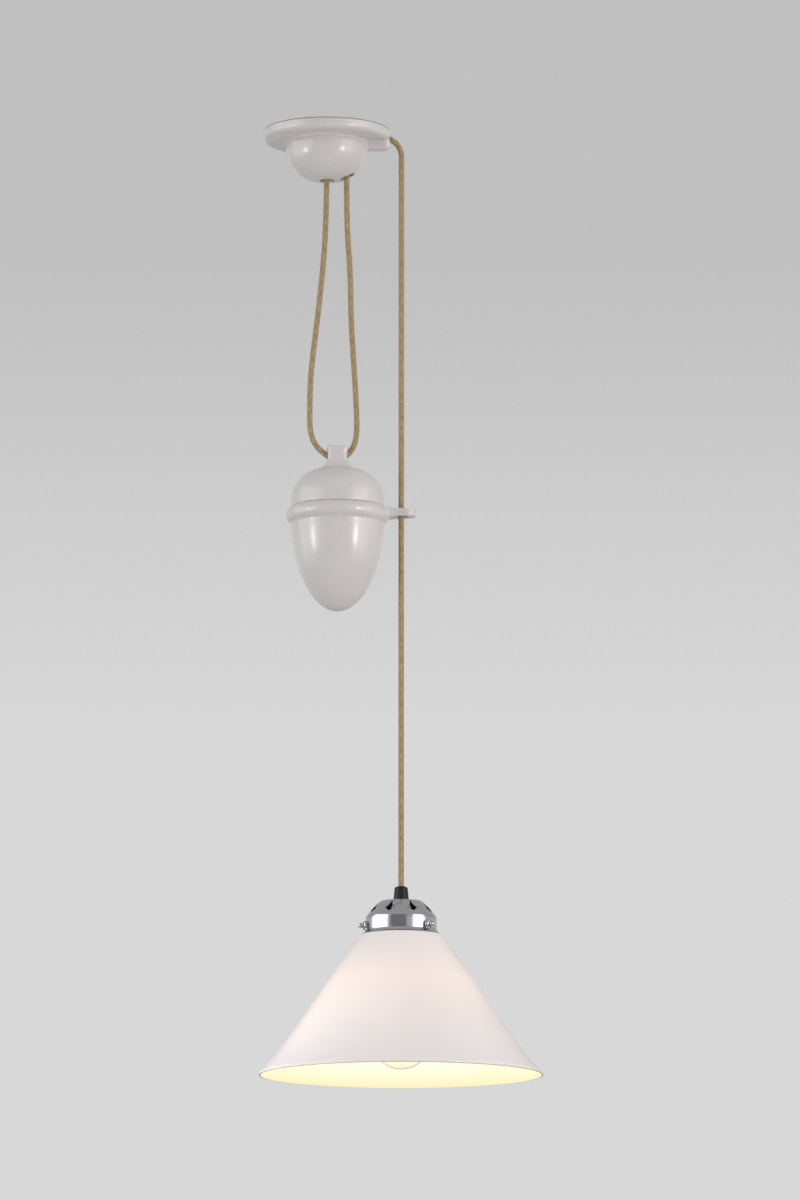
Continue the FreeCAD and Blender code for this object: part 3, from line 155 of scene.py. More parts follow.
def braided(name, line):
    """A closed tube of braid along a line in the plane Y = 0."""
    lengths = np.concatenate([[0], np.cumsum(np.linalg.norm(np.diff(line, axis=0), axis=1))])
    rings = int(round(lengths[-1] / (LAY / STRANDS / POINTS_PER_STRAND)))
    sides = STRANDS * POINTS_PER_STRAND
    along = np.linspace(0, lengths[-1], rings + 1)
    centre = np.stack([np.interp(along, lengths, line[:, i]) for i in range(3)], axis=1)
    ahead = np.gradient(centre, axis=0)
    ahead /= np.linalg.norm(ahead, axis=1)[:, None]
    sideways = np.cross(ahead, (0, 1, 0))

    turns = np.arange(sides) / sides
    radius = FLEX_WIDTH / 2 - RELIEF * (1 - braid_height(turns[None, :], along[:, None]))
    angle = 2 * np.pi * turns
    offset = (np.cos(angle)[None, :, None] * sideways[:, None, :]
              + np.sin(angle)[None, :, None] * np.array((0, 1, 0))[None, None, :])
    points = (centre[:, None, :] + radius[:, :, None] * offset).reshape(-1, 3)

    first = np.arange(rings * sides).reshape(rings, sides)
    following = np.roll(first, -1, axis=1)
    faces = np.stack([first, following, following + sides, first + sides], axis=2).reshape(-1, 4)
    ends = [list(range(sides))[::-1], list(range(rings * sides, (rings + 1) * sides))]
    mesh = bpy.data.meshes.new(name)
    mesh.from_pydata(points.tolist(), [], faces.tolist() + ends)

    ring, side = np.divmod(np.arange(rings * sides), sides)
    u = np.stack([side, side + 1, side + 1, side], axis=1) / sides
    v = along[np.stack([ring, ring, ring + 1, ring + 1], axis=1)]
    caps = np.zeros((2 * sides, 2))
    uv = np.concatenate([np.stack([u, v], axis=2).reshape(-1, 2), caps])
    mesh.uv_layers.new(name="braid").data.foreach_set("uv", uv.astype(np.float32).ravel())
    mesh.shade_smooth()
    piece = bpy.data.objects.new(name, mesh)
    scene.collection.objects.link(piece)
    return piece


flex_loop = braided("flex_loop", loop_line)
flex_drop = braided("flex_drop", drop_line)
print("triangles", 2 * len(flex_loop.data.polygons), 2 * len(flex_drop.data.polygons))

# %% [markdown]
# Both stretches change their length when the lamp moves, because flex runs over the pulleys. Each
# one is fixed to the rose at its top and to the counterweight or the lamp at its bottom. Here both
# are drawn at rest, and the CAD stretches that they stand for are hidden.

# %% Hiding the CAD stretches
BLEND_LOOP = (-0.056, -0.335)
BLEND_DROP = (-0.040, -0.815)

for piece, line, node, mover, (top, bottom) in (
        (flex_loop, loop_line, "cord_loop", "counterweight", BLEND_LOOP),
        (flex_drop, drop_line, "cord_drop", "lamp", BLEND_DROP)):
    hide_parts(node)
    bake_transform(piece)

# %% [markdown]
# ## Studio
# A pendant has no stand, so the floor lies well below it. Two soft lights stand left and right of
# the camera, where the glaze shows its two upright highlights. Two broad fills and a small narrow
# light on the shade add brightness that the gloss doesn't show. The world lights everything evenly,
# and is seen, also by gloss, as the plain grey of the background.

# %% Colours, nodes and finishes
def colour(text):
    """An sRGB hex colour as the linear colour that nodes use."""
    parts = [int(text[i:i + 2], 16) / 255 for i in (1, 3, 5)]
    return (*(c / 12.92 if c <= 0.04045 else ((c + 0.055) / 1.055) ** 2.4 for c in parts), 1)


def add(tree, kind, inputs=None, **settings):
    """Adds a node. Its inputs are numbers, colours or the outputs of other nodes."""
    made = tree.nodes.new("ShaderNode" + kind)
    for name, value in settings.items():
        setattr(made, name, value)
    for socket, value in (inputs or {}).items():
        if isinstance(value, bpy.types.NodeSocket):
            tree.links.new(value, made.inputs[socket])
        else:
            made.inputs[socket].default_value = value
    return made


def finish(name, **sockets):
    """A material whose Principled shader has these uniform values."""
    made = bpy.data.materials.new(name)
    made.use_nodes = True
    shader = made.node_tree.nodes["Principled BSDF"]
    for socket, value in sockets.items():
        shader.inputs[socket.replace("_", " ")].default_value = value
    return made, made.node_tree, shader


# %% World
BACKGROUND_LOW, BACKGROUND_HIGH = "#d8d8d8", "#c0c0c0"
# Painted light: the wall darkens upwards between these two angles above the level, given by sines.
LEAN_LOW, LEAN_HIGH = math.sin(math.radians(8.5)), math.sin(math.radians(12.5))
AMBIENT, AMBIENT_COLOUR = 0.60, "#fdfdff"

world = bpy.data.worlds.new("studio")
scene.world = world
world.use_nodes = True
tree = world.node_tree
tree.nodes.clear()
rays = add(tree, "LightPath").outputs
seen = rays["Is Camera Ray"]
for ray in ("Is Glossy Ray", "Is Transmission Ray"):
    seen = add(tree, "Math", {0: seen, 1: rays[ray]}, operation="MAXIMUM").outputs[0]
upwards = add(tree, "SeparateXYZ", {0: add(tree, "TexCoord").outputs["Generated"]}).outputs[2]
height = add(tree, "MapRange", {"Value": upwards, 1: LEAN_LOW, 2: LEAN_HIGH}).outputs[0]
wall = add(tree, "Mix", {0: height, 6: colour(BACKGROUND_LOW), 7: colour(BACKGROUND_HIGH)},
           data_type="RGBA").outputs[2]
lit = add(tree, "Background", {"Color": colour(AMBIENT_COLOUR), "Strength": AMBIENT})
shown = add(tree, "Background", {"Color": wall, "Strength": 1.0})
mixed = add(tree, "MixShader", {0: seen, 1: lit.outputs[0], 2: shown.outputs[0]})
add(tree, "OutputWorld", {"Surface": mixed.outputs[0]})
scene.view_settings.view_transform = "Standard"
print("world", AMBIENT, "from", BACKGROUND_LOW, "to", BACKGROUND_HIGH)

# %% [markdown]
# Polished metal only looks like metal if it has light and dark to reflect. Large white cards stand
# behind the soft lights, and a dark one behind the camera, where the unlit end of the studio would
# be. The cards are seen in reflections alone.

# %% Lights and cards
CENTRE = (0.08, 0.0)
LIGHT_COLOUR, CARD_COLOUR = "#fffcf9", "#fdfcff"
# name, degrees, away, width, height, watts, middle, seen in gloss
SOFT_LIGHTS = (
    ("left_soft_light", -64, 2.4, 0.36, 0.46, 8, -0.62, True),
    ("right_soft_light", 46, 2.4, 0.24, 0.46, 11, -0.62, True),
    ("left_fill", -82, 2.4, 1.2, 1.2, 7, -0.7, False),
    ("right_fill", 55, 2.4, 1.2, 1.2, 13, -0.7, False),
    ("shade_light", -80, 1.2, 0.20, 0.14, 0.08, -1.0, False),
)
SHADE_LIGHT_SPREAD = math.radians(15)
# name, degrees, away, width, height, middle, brightness
CARDS = (
    ("left_card", -76, 3.2, 4.0, 3.0, 0.30, 2.2),
    ("right_card", 62, 3.2, 2.5, 3.0, 0.30, 2.2),
    ("dark_card", -9, 3.4, 3.4, 3.4, 0.30, 0.27),
)


def stand(degrees, away, height):
    """Place and turn of a thing that faces the pendant; degrees run from the camera rightwards."""
    angle = math.radians(degrees)
    place = (CENTRE[0] + away * math.sin(angle), CENTRE[1] - away * math.cos(angle), height)
    return {"location": place, "rotation": (math.radians(90), 0, angle)}


def soft_light(name, degrees, away, width, height, watts, middle, in_gloss):
    """An upright soft light that faces the pendant."""
    bpy.ops.object.light_add(type="AREA", **stand(degrees, away, middle))
    light = bpy.context.object
    light.name = name
    light.data.shape = "RECTANGLE"
    light.data.size, light.data.size_y = width, height
    light.data.energy = watts
    light.data.color = colour(LIGHT_COLOUR)[:3]
    light.visible_glossy = in_gloss


def card(name, degrees, away, width, height, middle, brightness):
    """A flat, evenly bright card that only reflections see."""
    bpy.ops.mesh.primitive_plane_add(size=1, **stand(degrees, away, middle))
    made = bpy.context.object
    made.name = name
    made.scale = (width, height, 1)
    paint, tree, shader = finish(name)
    tree.nodes.remove(shader)
    light = add(tree, "Emission", {"Color": colour(CARD_COLOUR), "Strength": brightness})
    tree.links.new(light.outputs[0], tree.nodes["Material Output"].inputs["Surface"])
    made.data.materials.append(paint)
    made.visible_camera = made.visible_diffuse = made.visible_shadow = False
    made.visible_transmission = made.visible_volume_scatter = False


for row in SOFT_LIGHTS:
    soft_light(*row)
bpy.data.objects["shade_light"].data.spread = SHADE_LIGHT_SPREAD
for row in CARDS:
    card(*row)
print(len(SOFT_LIGHTS), "lights,", len(CARDS), "cards")

# %% Floor
FLOOR_HEIGHT, FLOOR_SIZE = -4.8, 60

bpy.ops.mesh.primitive_plane_add(size=FLOOR_SIZE, location=(0, 0, FLOOR_HEIGHT))
floor = bpy.context.object
floor.name = "studio_floor"
floor_paint, _, _ = finish("studio_floor_paint", Base_Color=colour("#dcdcdb"), Roughness=0.9)
floor.data.materials.append(floor_paint)
print("floor", FLOOR_HEIGHT, "m")

# %% [markdown]
# ## Finishes
# Every finish is one Principled shader. Uniform values sit on its own sockets. Patterns read Object
# coordinates, which are metres here, so a pattern's scale is one over the real size of its detail.

# %% Patterns
PATCH_LOW, PATCH_HIGH = 0.3, 0.7  # where the noise counts as fully dark, and as fully light


def object_place(tree):
    """Object coordinates, in metres."""
    return add(tree, "TexCoord").outputs["Object"]


def pattern(tree, size, detail=3.0, stretch=(1, 1, 1)):
    """Soft noise, from 0 to 1, in patches of that size in metres."""
    place = add(tree, "Mapping", {"Vector": object_place(tree), "Scale": stretch}).outputs[0]
    return add(tree, "TexNoise", {"Vector": place, "Scale": 1 / size, "Detail": detail}).outputs[0]


def ramp(tree, value, *stops):
    """Colours for a value from 0 to 1. Each stop is a position and a linear colour."""
    made = add(tree, "ValToRGB", {"Fac": value})
    elements = made.color_ramp.elements
    for element, (position, tone) in zip(elements, (stops[0], stops[-1])):
        element.position = position
        element.color = tone
    for position, tone in stops[1:-1]:
        elements.new(position).color = tone
    return made.outputs[0]


def patches(tree, shader, size, dark, light, detail=3.0):
    """Colours the surface in soft patches between two hex colours, and gives their pattern."""
    noise = pattern(tree, size, detail)
    tone = ramp(tree, noise, (PATCH_LOW, colour(dark)), (PATCH_HIGH, colour(light)))
    tree.links.new(tone, shader.inputs["Base Color"])
    return noise


def rough_between(tree, shader, noise, low, high):
    """Lets a pattern move the roughness between two values."""
    span = add(tree, "MapRange", {"Value": noise, 1: PATCH_LOW, 2: PATCH_HIGH, 3: low, 4: high})
    tree.links.new(span.outputs[0], shader.inputs["Roughness"])


def bump(tree, shader, noise, depth):
    """Raises the surface by up to depth, in metres, where a pattern is high."""
    raised = add(tree, "Bump", {"Height": noise, "Distance": depth, "Strength": 1.0})
    tree.links.new(raised.outputs[0], shader.inputs["Normal"])


def patchy(name, size, dark, light, rough=None, depth=None, grain=None, detail=3.0, **sockets):
    """A finish in soft patches. They, or a finer grain, may move its roughness and its height."""
    made, tree, shader = finish(name, **sockets)
    noise = patches(tree, shader, size, dark, light, detail)
    if grain:
        noise = pattern(tree, **grain)
    if rough:
        rough_between(tree, shader, noise, *rough)
    if depth:
        bump(tree, shader, noise, depth)
    return made


# %% [markdown]
# The rose and the counterweight are slip-cast porcelain under a clear glaze. Glaze is glass, smooth
# to the touch, but it flowed, so highlights wander a little, and its grey-white is never quite
# even.

# %% Glazed porcelain
def glazed_porcelain():
    """Slip-cast porcelain under a clear glaze."""
    made, tree, shader = finish("glazed_porcelain", IOR=1.52)
    patches(tree, shader, 60 * MM, "#d2cecc", "#d8d4d2")
    rough_between(tree, shader, pattern(tree, 25 * MM), 0.22, 0.28)
    bump(tree, shader, pattern(tree, 14 * MM, detail=1.0), 0.10 * MM)
    return made


# %% [markdown]
# The flex is covered in rayon and cotton yarn of three browns. Yarn is matt, with a soft sheen
# where fibres catch the light from the side. A real strand is finer than this: eight each way are
# drawn, because sixteen would run together at this distance.

# %% Braided yarn
YARN_DARK, YARN_MIDDLE, YARN_LIGHT = "#8a7654", "#aa9068", "#c0ab84"
STRAND_SHARE = 0.6   # how much of the colour is the strand's own; the rest is each crossing's
GROOVE_SHADE = 0.55  # painted shade: how bright the yarn is painted in the grooves
YARN = {"Roughness": 0.82, "Sheen_Weight": 0.25, "Sheen_Roughness": 0.5}


def braided_yarn():
    """Rayon and cotton yarn in three browns."""
    made, tree, shader = finish("braided_yarn", **YARN)

    def number(operation, first, second=0.0):
        return add(tree, "Math", {0: first, 1: second}, operation=operation).outputs[0]

    def either(on_left, on_right):
        return add(tree, "Mix", {0: on_top, 2: on_left, 3: on_right}).outputs[0]

    uv = add(tree, "SeparateXYZ", {0: add(tree, "UVMap", uv_map="braid").outputs[0]}).outputs
    round_it = number("MULTIPLY", uv[0], STRANDS)
    along = number("MULTIPLY", uv[1], STRANDS / LAY)
    left, right = number("ADD", round_it, along), number("SUBTRACT", round_it, along)
    left_name, right_name = number("FLOOR", left), number("FLOOR", right)
    on_top = number("FLOORED_MODULO", number("ADD", left_name, right_name), 2.0)
    strand = either(number("FLOORED_MODULO", left_name, STRANDS),
                    number("FLOORED_MODULO", number("ADD", right_name, 0.5), STRANDS))
    cell = add(tree, "CombineXYZ", {0: left_name, 1: right_name}).outputs[0]
    own = add(tree, "TexWhiteNoise", {"W": strand}, noise_dimensions="1D").outputs[0]
    local = add(tree, "TexWhiteNoise", {"Vector": cell}, noise_dimensions="2D").outputs[0]
    tone = number("ADD", number("MULTIPLY", own, STRAND_SHARE),
                  number("MULTIPLY", local, 1 - STRAND_SHARE))
    yarn = ramp(tree, tone, (0.0, colour(YARN_DARK)), (0.5, colour(YARN_MIDDLE)),
                (1.0, colour(YARN_LIGHT)))
    across = either(number("FRACT", left), number("FRACT", right))
    groove = number("SINE", number("MULTIPLY", across, math.pi))
    # Painted shade: the yarn is painted darker in the grooves between the strands.
    shadow = add(tree, "MapRange", {"Value": groove, 1: 0.0, 2: 0.7, 3: GROOVE_SHADE, 4: 1.0})
    shaded = add(tree, "Mix", {0: 1.0, 6: yarn, 7: shadow.outputs[0]}, data_type="RGBA",
                 blend_type="MULTIPLY")
    tree.links.new(shaded.outputs[2], shader.inputs["Base Color"])
    bump(tree, shader, pattern(tree, 0.35 * MM, detail=2.0), 0.08 * MM)
    return made


# %% [markdown]
# The gallery and its screws are spun and turned, and plated bright. Plating copies every fine ring
# that the tool left, so its reflections are a little soft up and down, and sharp from side to side.

# %% Bright plated metal
def plated_metal():
    """Spun aluminium, plated bright, with the fine rings of its spinning."""
    made, tree, shader = finish("plated_spun_aluminium", Base_Color=colour("#babac0"), Metallic=1.0)
    rough_between(tree, shader, pattern(tree, 12 * MM), 0.12, 0.18)
    bump(tree, shader, pattern(tree, 0.5 * MM, stretch=(0.01, 0.01, 1)), 0.004 * MM)
    return made


# %% [markdown]
# The shade is opal glass, blown and fire-polished: white all through, with a clear skin that
# mirrors the lights. The lamp is lit, so a glow is painted into the glass, warm near the bulb and
# cooler at the rim. The ground edge of the rim is bare glass, painted darker as a shade line.

# %% Opal glass, outside and inside
# Painted glow: how strongly the outside and the inside of the shade emit the bulb's light.
OUTER_GLOW, INNER_GLOW = 1.0, 0.8
WARM_PEAK = 0.6           # how far up the shade the glow is strongest
LIT_RIM_HEIGHT = 35 * MM  # how far up the inside its painted yellow light reaches


def height_share(tree, low, high, **settings):
    """How far up a point lies between two heights in metres, 0 to 1."""
    height = add(tree, "SeparateXYZ", {0: object_place(tree)}).outputs[2]
    return add(tree, "MapRange", {"Value": height, 1: low, 2: high}, **settings).outputs[0]


def opal_glass(glow_bottom, glow_top, warm):
    """The outside of the lit shade, with a painted glow from glow_bottom up to glow_top."""
    made, tree, shader = finish("opal_glass", IOR=1.5, Roughness=0.12, Coat_Weight=0.3,
                                Coat_Roughness=0.03, Emission_Strength=OUTER_GLOW)
    patches(tree, shader, 90 * MM, "#f0e9e7", "#f4edeb")
    share = height_share(tree, glow_bottom, glow_top, interpolation_type="SMOOTHSTEP")
    lit = ramp(tree, share, (0.0, (0.0, 0.0, 0.0, 1)), (WARM_PEAK, warm),
               (1.0, (0.01, 0.008, 0.006, 1)))
    tree.links.new(lit, shader.inputs["Emission Color"])
    return made


def opal_glass_inside(rim):
    """The inside of the shade, with painted light from the bulb, yellower towards the rim."""
    made, tree, shader = finish("opal_glass_inside", IOR=1.5, Roughness=0.2,
                                Base_Color=colour("#d8d2c0"), Emission_Strength=INNER_GLOW)
    share = height_share(tree, rim, rim + LIT_RIM_HEIGHT)
    lit = ramp(tree, share, (0.0, colour("#e0d498")), (1.0, colour("#fffdf2")))
    tree.links.new(lit, shader.inputs["Emission Color"])
    return made


# %% [markdown]
# The small parts follow. Brass and steel are turned or pressed, plastic and ceramic are moulded,
# and cork is pressed from grains.

# %% Metals
def turned_metal(name, dark, light):
    """Metal with fine turning marks."""
    return patchy(name, 5 * MM, dark, light, (0.2, 0.32), 0.01 * MM,
                  grain={"size": 0.4 * MM, "stretch": (1, 0.05, 1)}, Metallic=1.0)


def grains(tree, shader, size, dark, light):
    """Colours the surface in flakes or grains. Gives each one's value, and its dome."""
    cells = add(tree, "TexVoronoi", {"Vector": object_place(tree), "Scale": 1 / size}).outputs
    value = add(tree, "SeparateXYZ", {0: cells["Color"]}).outputs[0]
    tone = ramp(tree, value, (0.0, colour(dark)), (1.0, colour(light)))
    tree.links.new(tone, shader.inputs["Base Color"])
    return value, cells["Distance"]


def zinc_plated_steel():
    """Pressed sheet with the faint patchwork of its zinc."""
    made, tree, shader = finish("zinc_plated_steel", Metallic=1.0)
    flakes, _ = grains(tree, shader, 4 * MM, "#a9abab", "#c2c3c1")
    rough_between(tree, shader, flakes, 0.30, 0.42)
    return made


# %% Plastics, cork and the bulb
def moulded(name, dark, light, rough=(0.4, 0.55), depth=0.01 * MM):
    """Moulded plastic, rubber or pressed ceramic with a fine grain."""
    return patchy(name, 8 * MM, dark, light, rough, depth, grain={"size": 0.5 * MM}, IOR=1.5)


def pressed_cork():
    """Cork grains of about two millimetres."""
    made, tree, shader = finish("pressed_cork", Roughness=0.85)
    _, domes = grains(tree, shader, 2 * MM, "#6f4f31", "#b58a5c")
    bump(tree, shader, domes, 0.1 * MM)
    return made


def clear_glass():
    """Bulb glass, clear and so thin that its edge hardly shows: a low IOR stands for that."""
    made, tree, shader = finish("clear_glass", IOR=1.12, Roughness=0.0, Transmission_Weight=1.0,
                                Base_Color=colour("#fdfcf8"))
    bump(tree, shader, pattern(tree, 18 * MM, detail=1.0), 0.03 * MM)
    return made


def lit_filament():
    """Coated filament sticks, lit warm."""
    made, tree, shader = finish("lit_filament", Roughness=0.6, Emission_Strength=3.0)
    tone = ramp(tree, pattern(tree, 1 * MM), (PATCH_LOW, colour("#ffb454")),
                (PATCH_HIGH, colour("#ffe1a8")))
    for socket in ("Base Color", "Emission Color"):
        tree.links.new(tone, shader.inputs[socket])
    return made


# %% [markdown]
# Each CAD node takes the finish of its material slot. The pieces modelled again below do so too.

# %% Finishes by slot
WARM_GLOW = (0.16, 0.09, 0.03, 1)  # painted glow: the light through the glass beside the bulb, linear
GLOW_START = 10 * MM               # how far above the rim it starts

shade_low, shade_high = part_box("shade")
finishes = {
    "porcelain": glazed_porcelain(),
    "plate_steel": zinc_plated_steel(),
    "fastener_steel": turned_metal("bright_steel", "#b4b4b4", "#c8c8c6"),
    "pulley_brass": turned_metal("turned_brass", "#c29b52", "#d8b468"),
    "flex_braid": braided_yarn(),
    "core_brown": moulded("brown_insulation", "#4a2b18", "#573420"),
    "core_blue": moulded("blue_insulation", "#1f3f8f", "#27499c"),
    "core_green": moulded("green_insulation", "#4f7d22", "#6a9230"),
    "block_plastic": moulded("polyamide", "#dedcd4", "#e8e6df"),
    "cork": pressed_cork(),
    # Sand-cast iron with the grit of its mould, and phenolic plastic rubbed satin by hands
    "iron": patchy("sand_cast_iron", 1.2 * MM, "#3a3836", "#56524e", (0.55, 0.75), 0.15 * MM,
                   detail=4.0, Metallic=0.8),
    "grip_plastic": patchy("black_phenolic", 6 * MM, "#0f0d0d", "#191716", (0.38, 0.50), IOR=1.5,
                           Specular_IOR_Level=0.3),
    "spun_aluminium": plated_metal(),
    "opal_glass": opal_glass(shade_low.z + GLOW_START, shade_high.z, WARM_GLOW),
    "silicone": moulded("silicone_rubber", "#cfcdc8", "#dad8d3", rough=(0.5, 0.65)),
    "steatite": moulded("steatite", "#dcd6c8", "#e8e2d6", rough=(0.6, 0.8), depth=0.03 * MM),
    "cap_glass": moulded("black_glass", "#0e0e10", "#17171a", rough=(0.05, 0.1)),
    "clear_glass": clear_glass(),
    "filament": lit_filament(),
}

for subpart in frame["record"]["subparts"]:
    node = frame["nodes"][subpart["node"]]
    node.data.materials.clear()
    node.data.materials.append(finishes[subpart["material_slot"]])
print(len(finishes), "finishes on", len(frame["nodes"]), "nodes")

# %% [markdown]
# The held stretches of flex inside the rose and the grip are CAD meshes without a UV map, so the
# same yarn is drawn there in plain patches.

# %% Yarn on the held stretches
held_yarn = patchy("plain_yarn", 1.6 * MM, YARN_DARK, YARN_LIGHT, depth=0.1 * MM, **YARN)
for name in ("cord_tail", "cord_over_pulley", "cord_lamp_end"):
    frame["nodes"][name].data.materials[0] = held_yarn
for piece in (flex_loop, flex_drop):
    piece.data.materials.append(finishes["flex_braid"])
print(held_yarn.name, "on the held flex")

# %% [markdown]
# ## Tools for turned pieces
# Most of this lamp was made on a wheel, a lathe or a spinning chuck, so most pieces start from half
# an outline. It is drawn point by point in edit mode, by extruding a single vertex, and is then
# spun round the piece's axis. Outlines are lists of (radius, height) in millimetres.

# %% Arcs for outlines
CLEAR = 1.0  # how far a cutter runs past what it cuts, in millimetres


def arc(centre, radius, start, end, steps):
    """Points on a circle between two angles in degrees."""
    angles = np.radians(np.linspace(start, end, steps + 1))
    return [(centre[0] + radius * math.cos(a), centre[1] + radius * math.sin(a)) for a in angles]


def bow(a, b, sag, steps):
    """Points from a to b on an arc that stands sag off its chord, on the left of the way."""
    run, rise = b[0] - a[0], b[1] - a[1]
    chord = math.hypot(run, rise)
    radius = (chord**2 / 4 + sag**2) / (2 * abs(sag))
    half = math.asin(min(1, chord / (2 * radius)))
    away = (radius - abs(sag)) * math.copysign(1, sag)
    centre = ((a[0] + b[0]) / 2 + rise / chord * away, (a[1] + b[1]) / 2 - run / chord * away)
    first = math.degrees(math.atan2(a[1] - centre[1], a[0] - centre[0]))
    swing = -math.degrees(2 * half) * math.copysign(1, sag)
    return arc(centre, radius, first, first + swing, steps)


# %% Spinning an outline
def deselect():
    bpy.ops.object.select_all(action="DESELECT")


def mode(name):
    bpy.ops.object.mode_set(mode=name)


def close_up():
    """Turns all faces of the mesh in edit mode outwards, and goes back to object mode."""
    bpy.ops.mesh.select_all(action="SELECT")
    bpy.ops.mesh.normals_make_consistent(inside=False)
    mode("OBJECT")


def only(piece):
    """Selects one object and nothing else."""
    deselect()
    piece.select_set(True)
    bpy.context.view_layer.objects.active = piece


def spun(name, outline, x=0.0, sides=160):
    """Draws an outline and spins it round the upright axis at x millimetres."""
    deselect()
    start = (outline[0][0] + x, 0, outline[0][1])
    bpy.ops.mesh.primitive_plane_add(size=MM, location=[v * MM for v in start])
    mode("EDIT")
    bpy.ops.mesh.merge(type="CENTER")
    for here, there in zip(outline, outline[1:]):
        step = ((there[0] - here[0]) * MM, 0, (there[1] - here[1]) * MM)
        bpy.ops.mesh.extrude_region_move(TRANSFORM_OT_translate={"value": step})
    bpy.ops.mesh.select_all(action="SELECT")
    bpy.ops.mesh.spin(steps=sides, angle=2 * math.pi, center=(x * MM, 0, 0), axis=(0, 0, 1))
    bpy.ops.mesh.select_all(action="SELECT")
    bpy.ops.mesh.remove_doubles(threshold=1e-6)
    close_up()
    made = bpy.context.object
    made.name = name
    bpy.ops.object.transform_apply()
    return made


# %% Changing a piece
def modify(piece, kind, **settings):
    """Adds a modifier with these settings and applies it."""
    only(piece)
    modifier = piece.modifiers.new(kind.title(), kind)
    for name, value in settings.items():
        setattr(modifier, name, value)
    bpy.ops.object.modifier_apply(modifier=modifier.name)


def combine(piece, tool, operation="DIFFERENCE"):
    """Cuts a tool out of the piece, unless another operation is given."""
    modify(piece, "BOOLEAN", object=tool, operation=operation, solver="EXACT")
    bpy.data.objects.remove(tool)


def round_edges(piece, width, degrees, segments=3):
    """Rounds the edges that turn by more than that angle; the width is in millimetres."""
    modify(piece, "BEVEL", width=width * MM, segments=segments, limit_method="ANGLE",
           angle_limit=math.radians(degrees))


def smooth(piece, degrees):
    """Shades a piece smooth, apart from edges that turn by more than that angle."""
    only(piece)
    bpy.ops.object.shade_smooth_by_angle(angle=math.radians(degrees))


def joined(pieces):
    """Joins pieces into the first of them."""
    only(pieces[0])
    for piece in pieces:
        piece.select_set(True)
    bpy.ops.object.join()
    return pieces[0]


# %% Rods and slabs
def rod(start, end, radius, sides=62):
    """A round bar between two points in millimetres."""
    deselect()
    a, b = np.array(start, float), np.array(end, float)
    away = b - a
    length = float(np.linalg.norm(away))
    tilt = math.acos(away[2] / length)
    bpy.ops.mesh.primitive_cylinder_add(
        vertices=sides, radius=radius * MM, depth=length * MM, location=(a + b) / 2 * MM,
        rotation=(0, tilt, math.atan2(away[1], away[0])))
    return bpy.context.object


def slab(low, high):
    """A box between two corners in millimetres."""
    deselect()
    low, high = np.array(low, float), np.array(high, float)
    bpy.ops.mesh.primitive_cube_add(size=1, location=(low + high) / 2 * MM)
    made = bpy.context.object
    made.scale = (high - low) * MM
    bpy.ops.object.transform_apply()
    return made


# %% [markdown]
# Every piece hangs from the body that it moves with, hides the CAD node that it stands for,
# and prints its size.

# %% Dressing a piece
def dress(piece, body, slot, node):
    """Gives a finished piece its body and its finish, and hides the CAD node that it stands for."""
    piece.data.materials.clear()
    piece.data.materials.append(finishes[slot])
    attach(piece, body)
    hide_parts(node)
    low, high = np.array(piece.bound_box).min(0), np.array(piece.bound_box).max(0)
    print(piece.name, len(piece.data.polygons), "faces", np.round((high - low) / MM, 1), "mm")


# %% [markdown]
# Glaze lies thick in corners and thin on edges, so nothing on porcelain is sharp. Remeshing a piece
# in small voxels and smoothing it melts every joint and edge together in the same way.

# %% Glazing a piece
GLAZE_VOXEL = 0.88 * MM
GLAZE_PULL, GLAZE_ROUNDS = 0.5, 10


def glaze(piece):
    """Melts a piece's edges and joints together."""
    modify(piece, "REMESH", mode="VOXEL", voxel_size=GLAZE_VOXEL)
    modify(piece, "SMOOTH", factor=GLAZE_PULL, iterations=GLAZE_ROUNDS)
    only(piece)
    bpy.ops.object.shade_smooth()


# %% [markdown]
# ## Rose
# The rose is a flat rim with a dome below it. A radial duct carries the flex from the dome to the
# rim, where it leaves through a hole. Two holes in the dome let the loop in and out. The edge that
# stood in the kiln has no glaze, and is painted brown as the shadow line against the ceiling.

# %% The cover's shell
ROSE_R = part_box("rose_cover")[1].x / MM
ROSE_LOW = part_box("rose_cover")[0].z / MM
RIM_H, RIM_ROUND = 12.0, 5.5
DOME_R, DOME_TOP, DOME_SHOULDER = 44.0, -19.0, 36.0
CREST, CREASE = 6.0, 60.0
WALL = 4.0
DUCT_HALF, DUCT_FLOOR, DUCT_WALL, DUCT_ROUND = 8.5, -21.3, 2.9, 5.2
DUCT_END, DUCT_SUNK = ROSE_R - 0.2, 1.0
STRAND_HOLES, STRAND_HOLE_R = (0.6, 22.3), 7.5
EXIT_HOLE_R, EXIT_HEIGHT = 5.0, -7.6
RIM_SHADOW_LINE = 1.1  # how much of the rim's top edge is unglazed and painted brown as shadow


def dome_curve(inset):
    """The dome from its side down to its tip: a shoulder arc that runs into a flatter one."""
    depth = DOME_TOP - ROSE_LOW
    flat = (DOME_R**2 + depth**2 - 2 * DOME_R * DOME_SHOULDER) / (2 * (depth - DOME_SHOULDER))
    shoulder, centre = (DOME_R - DOME_SHOULDER, DOME_TOP), (0, ROSE_LOW + flat)
    lean = math.degrees(math.atan2(centre[1] - shoulder[1], shoulder[0]))
    return (arc(shoulder, DOME_SHOULDER - inset, 0, -lean, 24)
            + arc(centre, flat - inset, -lean, -90, 8)[1:])


def rose_outline():
    """The cover's face, from the ceiling round the rim and down the dome."""
    crest = (DOME_R - CREST, -RIM_H - CREST * math.sin(math.radians(CREASE)))
    rim = (ROSE_R - RIM_ROUND, RIM_ROUND - RIM_H)
    return ([(0, 0), (ROSE_R, 0)] + arc(rim, RIM_ROUND, 0, -90, 10)
            + arc(crest, CREST, CREASE, 0, 8) + dome_curve(0))


def rose_hollow():
    """What is hollow inside it."""
    return [(0, CLEAR), (ROSE_R - WALL, CLEAR), (ROSE_R - WALL, WALL - RIM_H),
            (DOME_R - WALL, WALL - RIM_H), *dome_curve(WALL)]


